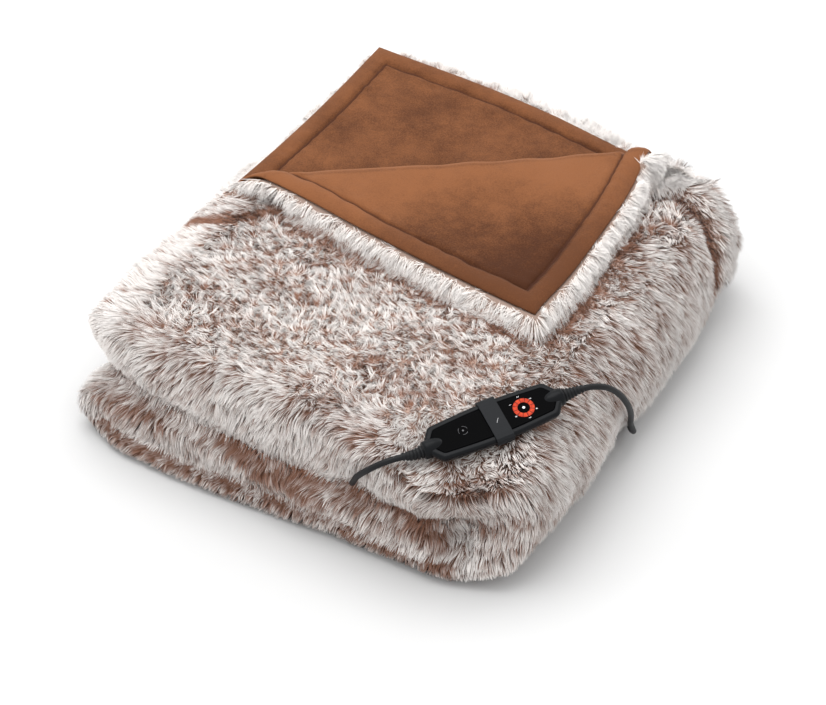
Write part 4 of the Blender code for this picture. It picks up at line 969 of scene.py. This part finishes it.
def lining_point(along, run, lift):
    """A point of the lining. run is the way over it from the crest of the loop, positive on the
    turned-back side, which sinks from the crest as a bell curve and lies in soft waves; the loop is
    a half circle, and below it a small half circle turns the lining under. lift is the height over
    its middle."""
    crest = LOOP_LOW + 2 * LOOP_RADIUS
    wave = FLAP_WAVE * np.sin(24 * along - 11 * run + 0.7) * ramp(run, 0, 0.05)
    flap = FLAP_LEVEL + (crest - FLAP_LEVEL) * bell(run, FLAP_SETTLE) + wave
    turn = np.clip(-run / LOOP_RADIUS, 0, math.pi)
    across = LOOP_RADIUS * np.sin(turn) - np.clip(run, 0, None)
    height = np.where(run > 0, flap, LOOP_LOW + LOOP_RADIUS * (1 + np.cos(turn)))
    under = np.clip((LOOP_FOOT - run) / TUCK_RADIUS, 0, math.pi)
    below = run < LOOP_FOOT
    across = np.where(below, -TUCK_RADIUS * np.sin(under) + np.clip(TUCK_END - run, 0, None), across)
    height = np.where(below, LOOP_LOW - TUCK_RADIUS * (1 - np.cos(under)), height)
    across = across + lift * np.where(below, np.sin(under), np.sin(turn))
    height = height + lift * np.where(below, -np.cos(under), np.cos(turn))
    c, s = math.cos(RIDGE_ANGLE), math.sin(RIDGE_ANGLE)
    return settled(np.column_stack([RIDGE_START[0] + along * c - across * s,
                                    RIDGE_START[1] + along * s + across * c, height]))


def edge_distance(points, outline):
    """Distance inward from the sides of an outline."""
    ways = unit(np.roll(outline, -1, axis=0) - outline)
    away = points[:, None] - outline[None]
    return (ways[:, 0] * away[:, :, 1] - ways[:, 1] * away[:, :, 0]).min(axis=1)


def cut_cloth(outline, seams, pitch):
    """Flat cloth as triangles that follow its outline and the lines at each seam's width from it,
    with points every pitch between."""
    points, edges = [], []
    for width in (0.0, *seams):
        moved = inset(outline, width)
        for a, b in zip(moved, np.roll(moved, -1, axis=0)):
            parts = max(1, round(np.linalg.norm(b - a) / pitch))
            first = len(points)
            points += (a + (b - a) * np.linspace(0, 1, parts + 1)[:, None]).tolist()
            edges += [(first + k, first + k + 1) for k in range(parts)]
    low, high = outline.min(axis=0), outline.max(axis=0)
    along, run = np.meshgrid(np.arange(low[0], high[0], pitch), np.arange(low[1], high[1], pitch * 0.87))
    along[1::2] += pitch / 2
    inner = np.column_stack([along.ravel(), run.ravel()])
    inward = edge_distance(inner, outline)
    clear = inward > pitch * 0.5
    for width in seams:
        clear &= np.abs(inward - width) > pitch * 0.5
    points += inner[clear].tolist()
    found = delaunay_2d_cdt([Vector(p) for p in points], edges, [], 0, 1e-6)
    flat, triangles = np.array([tuple(p) for p in found[0]]), np.array(found[2])
    triangles = triangles[edge_distance(flat[triangles].mean(axis=1), outline) > 0]
    keep, triangles = np.unique(triangles, return_inverse=True)
    return flat[keep], triangles.reshape(-1, 3)


def lining_finish():
    """Plush: brushed patches lie lighter or darker, and the pile is a fine grain.
    Painted light and shade are added on top: lighter at the flap's crest and on the back of the loop, darker
    down the flap and on the laid-open corner beside the ridge.
    """
    finish = Finish("plush_pile", Roughness=0.78, Specular_IOR_Level=0.12, Sheen_Weight=0.07,
                    Sheen_Roughness=0.4, Sheen_Tint=(0.9, 0.62, 0.45, 1))
    brushed = finish.noise(10.0, 3.0, 0.6)
    small = finish.noise(75.0, 3.0, 0.6)
    fine = finish.noise(620.0, 2.0, 0.7)
    # Painted light and shade, read from the lining's own attribute.
    painted_light_and_shade = finish.node("Attribute", {"attribute_name": "painted_light_and_shade"}, output=2)
    shade = (0.46 * brushed + 0.20 * small + 0.34 * fine + painted_light_and_shade).step(0.27, 0.75)
    cloth = finish.mix(shade, (0.046, 0.0135, 0.0040), (0.190, 0.0715, 0.0275))
    inward = finish.node("Attribute", {"attribute_name": "to_edge"}, output=2)
    seam = 1.0 - (inward - HEM).math("ABSOLUTE").step(0.0005, 0.0020)
    # Painted highlight: the raised hem border is mixed towards the light cloth colour.
    hem_highlight = 1.0 - inward.step(HEM - 0.006, HEM - 0.002)
    cloth = finish.mix(0.30 * hem_highlight, cloth, (0.185, 0.069, 0.027))
    finish.feed("Base Color", finish.mix(0.78 * seam, cloth, (0.050, 0.017, 0.009)))
    finish.feed("Roughness", 0.7 + 0.2 * small)
    finish.bump(0.35 * small + 0.65 * fine, 0.0009, 0.7)
    return finish.made


def lining_object(finish):
    """The lining's cloth, cut flat and laid over the loop. Its upper side is puffed by a half sine in
    the hem, puckered along the stitches by waves under a bell curve, and drawn in at them."""
    outline = np.array([
        (CORNER_POINT[0], TUCK_END - CORNER_POINT[1]), (CORNER_CUT[0], TUCK_END - CORNER_CUT[1]),
        (CORNER_ENDS[1], TUCK_END), (LOOP_ENDS[1], LOOP_FOOT), (CREST_ENDS[1], 0.0), FLAP_POINT,
        (CREST_ENDS[0], 0.0), (LOOP_ENDS[0], LOOP_FOOT), (CORNER_ENDS[0], TUCK_END)])
    seams = (0.0008, 0.003, *(HEM + side * STITCH_WIDTH / 2 for side in (-2, -1, 0, 1, 2)))
    flat, triangles = cut_cloth(outline, seams, CLOTH_PITCH)
    run, count = flat[:, 1], len(flat)
    inward = edge_distance(flat, outline)
    spread = np.column_stack([flat, 0 * inward])
    stuffed = 0.0026 * np.sin(math.pi * ramp(inward, 0, HEM)) * (inward < HEM)
    pucker = 0.00085 * waves(spread, 0.016, 31) * bell(inward - HEM, 0.012)
    soft = 0.0009 * waves(spread, 0.07, 32) * ramp(inward, 0, 0.02)
    stitched = STITCH_DEPTH * bell(inward - HEM, STITCH_WIDTH / 1.8)
    shown = np.where((run < LOOP_FOOT + 0.006) & (run > TUCK_END - 0.012), 0.0, 1.0)
    rim = 0.45 * LINING * ramp(inward, 0.003, 0) ** 2
    upper = LINING / 2 - rim + shown * (stuffed + pucker + soft + 0.0004 - stitched)
    lower = 0.3 * rim - LINING / 2
    points = np.vstack([lining_point(*flat.T, upper), lining_point(*flat.T, lower)])
    sides = np.vstack([triangles[:, [0, 1]], triangles[:, [1, 2]], triangles[:, [2, 0]]])
    pairs = {tuple(edge) for edge in sides.tolist()}
    edge = np.array([e for e in pairs if (e[1], e[0]) not in pairs])
    faces = triangles.tolist() + (triangles[:, ::-1] + count).tolist()
    faces += np.column_stack([edge[:, ::-1], edge + count]).tolist()
    made = mesh_from("lining", points, faces, finish)
    # Painted light and shade: lighter near the flap's crest and darker further down it; lighter on the back
    # of the loop, which faces away from the light, and darker on the laid-open corner beside the ridge.
    painted_light_and_shade = np.where(run > 0, 0.20 * bell(run, 0.07) - 0.17 * ramp(run, 0.07, 0.19),
                   0.45 * bell(run + 0.012, 0.014) - 0.17 * bell(np.minimum(run - TUCK_END, 0), 0.055))
    for name, values in (("to_edge", inward), ("painted_light_and_shade", painted_light_and_shade)):
        kept = made.data.attributes.new(name, "FLOAT", "POINT")
        kept.data.foreach_set("value", np.concatenate([values, values]).astype(np.float32))
    mended(made.data, lambda work: bmesh.ops.recalc_face_normals(work, faces=work.faces))
    return made


lining = lining_object(lining_finish())
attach(lining, "throw")
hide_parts("blanket_lining")
print("lining", len(lining.data.polygons), "faces")


# Floor and light. A plain white sweep under an even sky and three large soft lamps, as in a studio:
# one over the bundle, one from the left and one from behind.
FLOOR_SIDE, FLOOR_DROP = 6.0, 0.0002
SKY = 1.27
LAMPS = {"lamp_top": ((-0.38, 0.0, 2.4), 2.2, 47), "lamp_side": ((-2.2, -1.4, 1.3), 1.4, 7),
         "lamp_back": ((0.8, 2.2, 1.6), 1.4, 10)}    # place, size, watts


def studio():
    finish = Finish("studio_floor", Base_Color=(0.58, 0.58, 0.58, 1), Roughness=0.7, Specular_IOR_Level=0.1)
    corners = [(a * FLOOR_SIDE, b * FLOOR_SIDE, 0) for a, b in ((-1, -1), (1, -1), (1, 1), (-1, 1))]
    floor = mesh_from("floor", corners, [(0, 1, 2, 3)], finish.made, False)
    floor.location.z = -FLOOR_DROP
    world = bpy.data.worlds.new("studio")
    bpy.context.scene.world = world
    world.use_nodes = True
    sky = world.node_tree.nodes["Background"].inputs
    sky["Color"].default_value, sky["Strength"].default_value = (1, 1, 1, 1), SKY
    for name, (place, size, power) in LAMPS.items():
        light = bpy.data.lights.new(name, "AREA")
        light.size, light.energy = size, power
        lamp = placed(name, light)
        lamp.location = place
        lamp.rotation_euler = Vector(place).to_track_quat("Z", "Y").to_euler()


studio()
bpy.context.scene.view_settings.view_transform = "Standard"
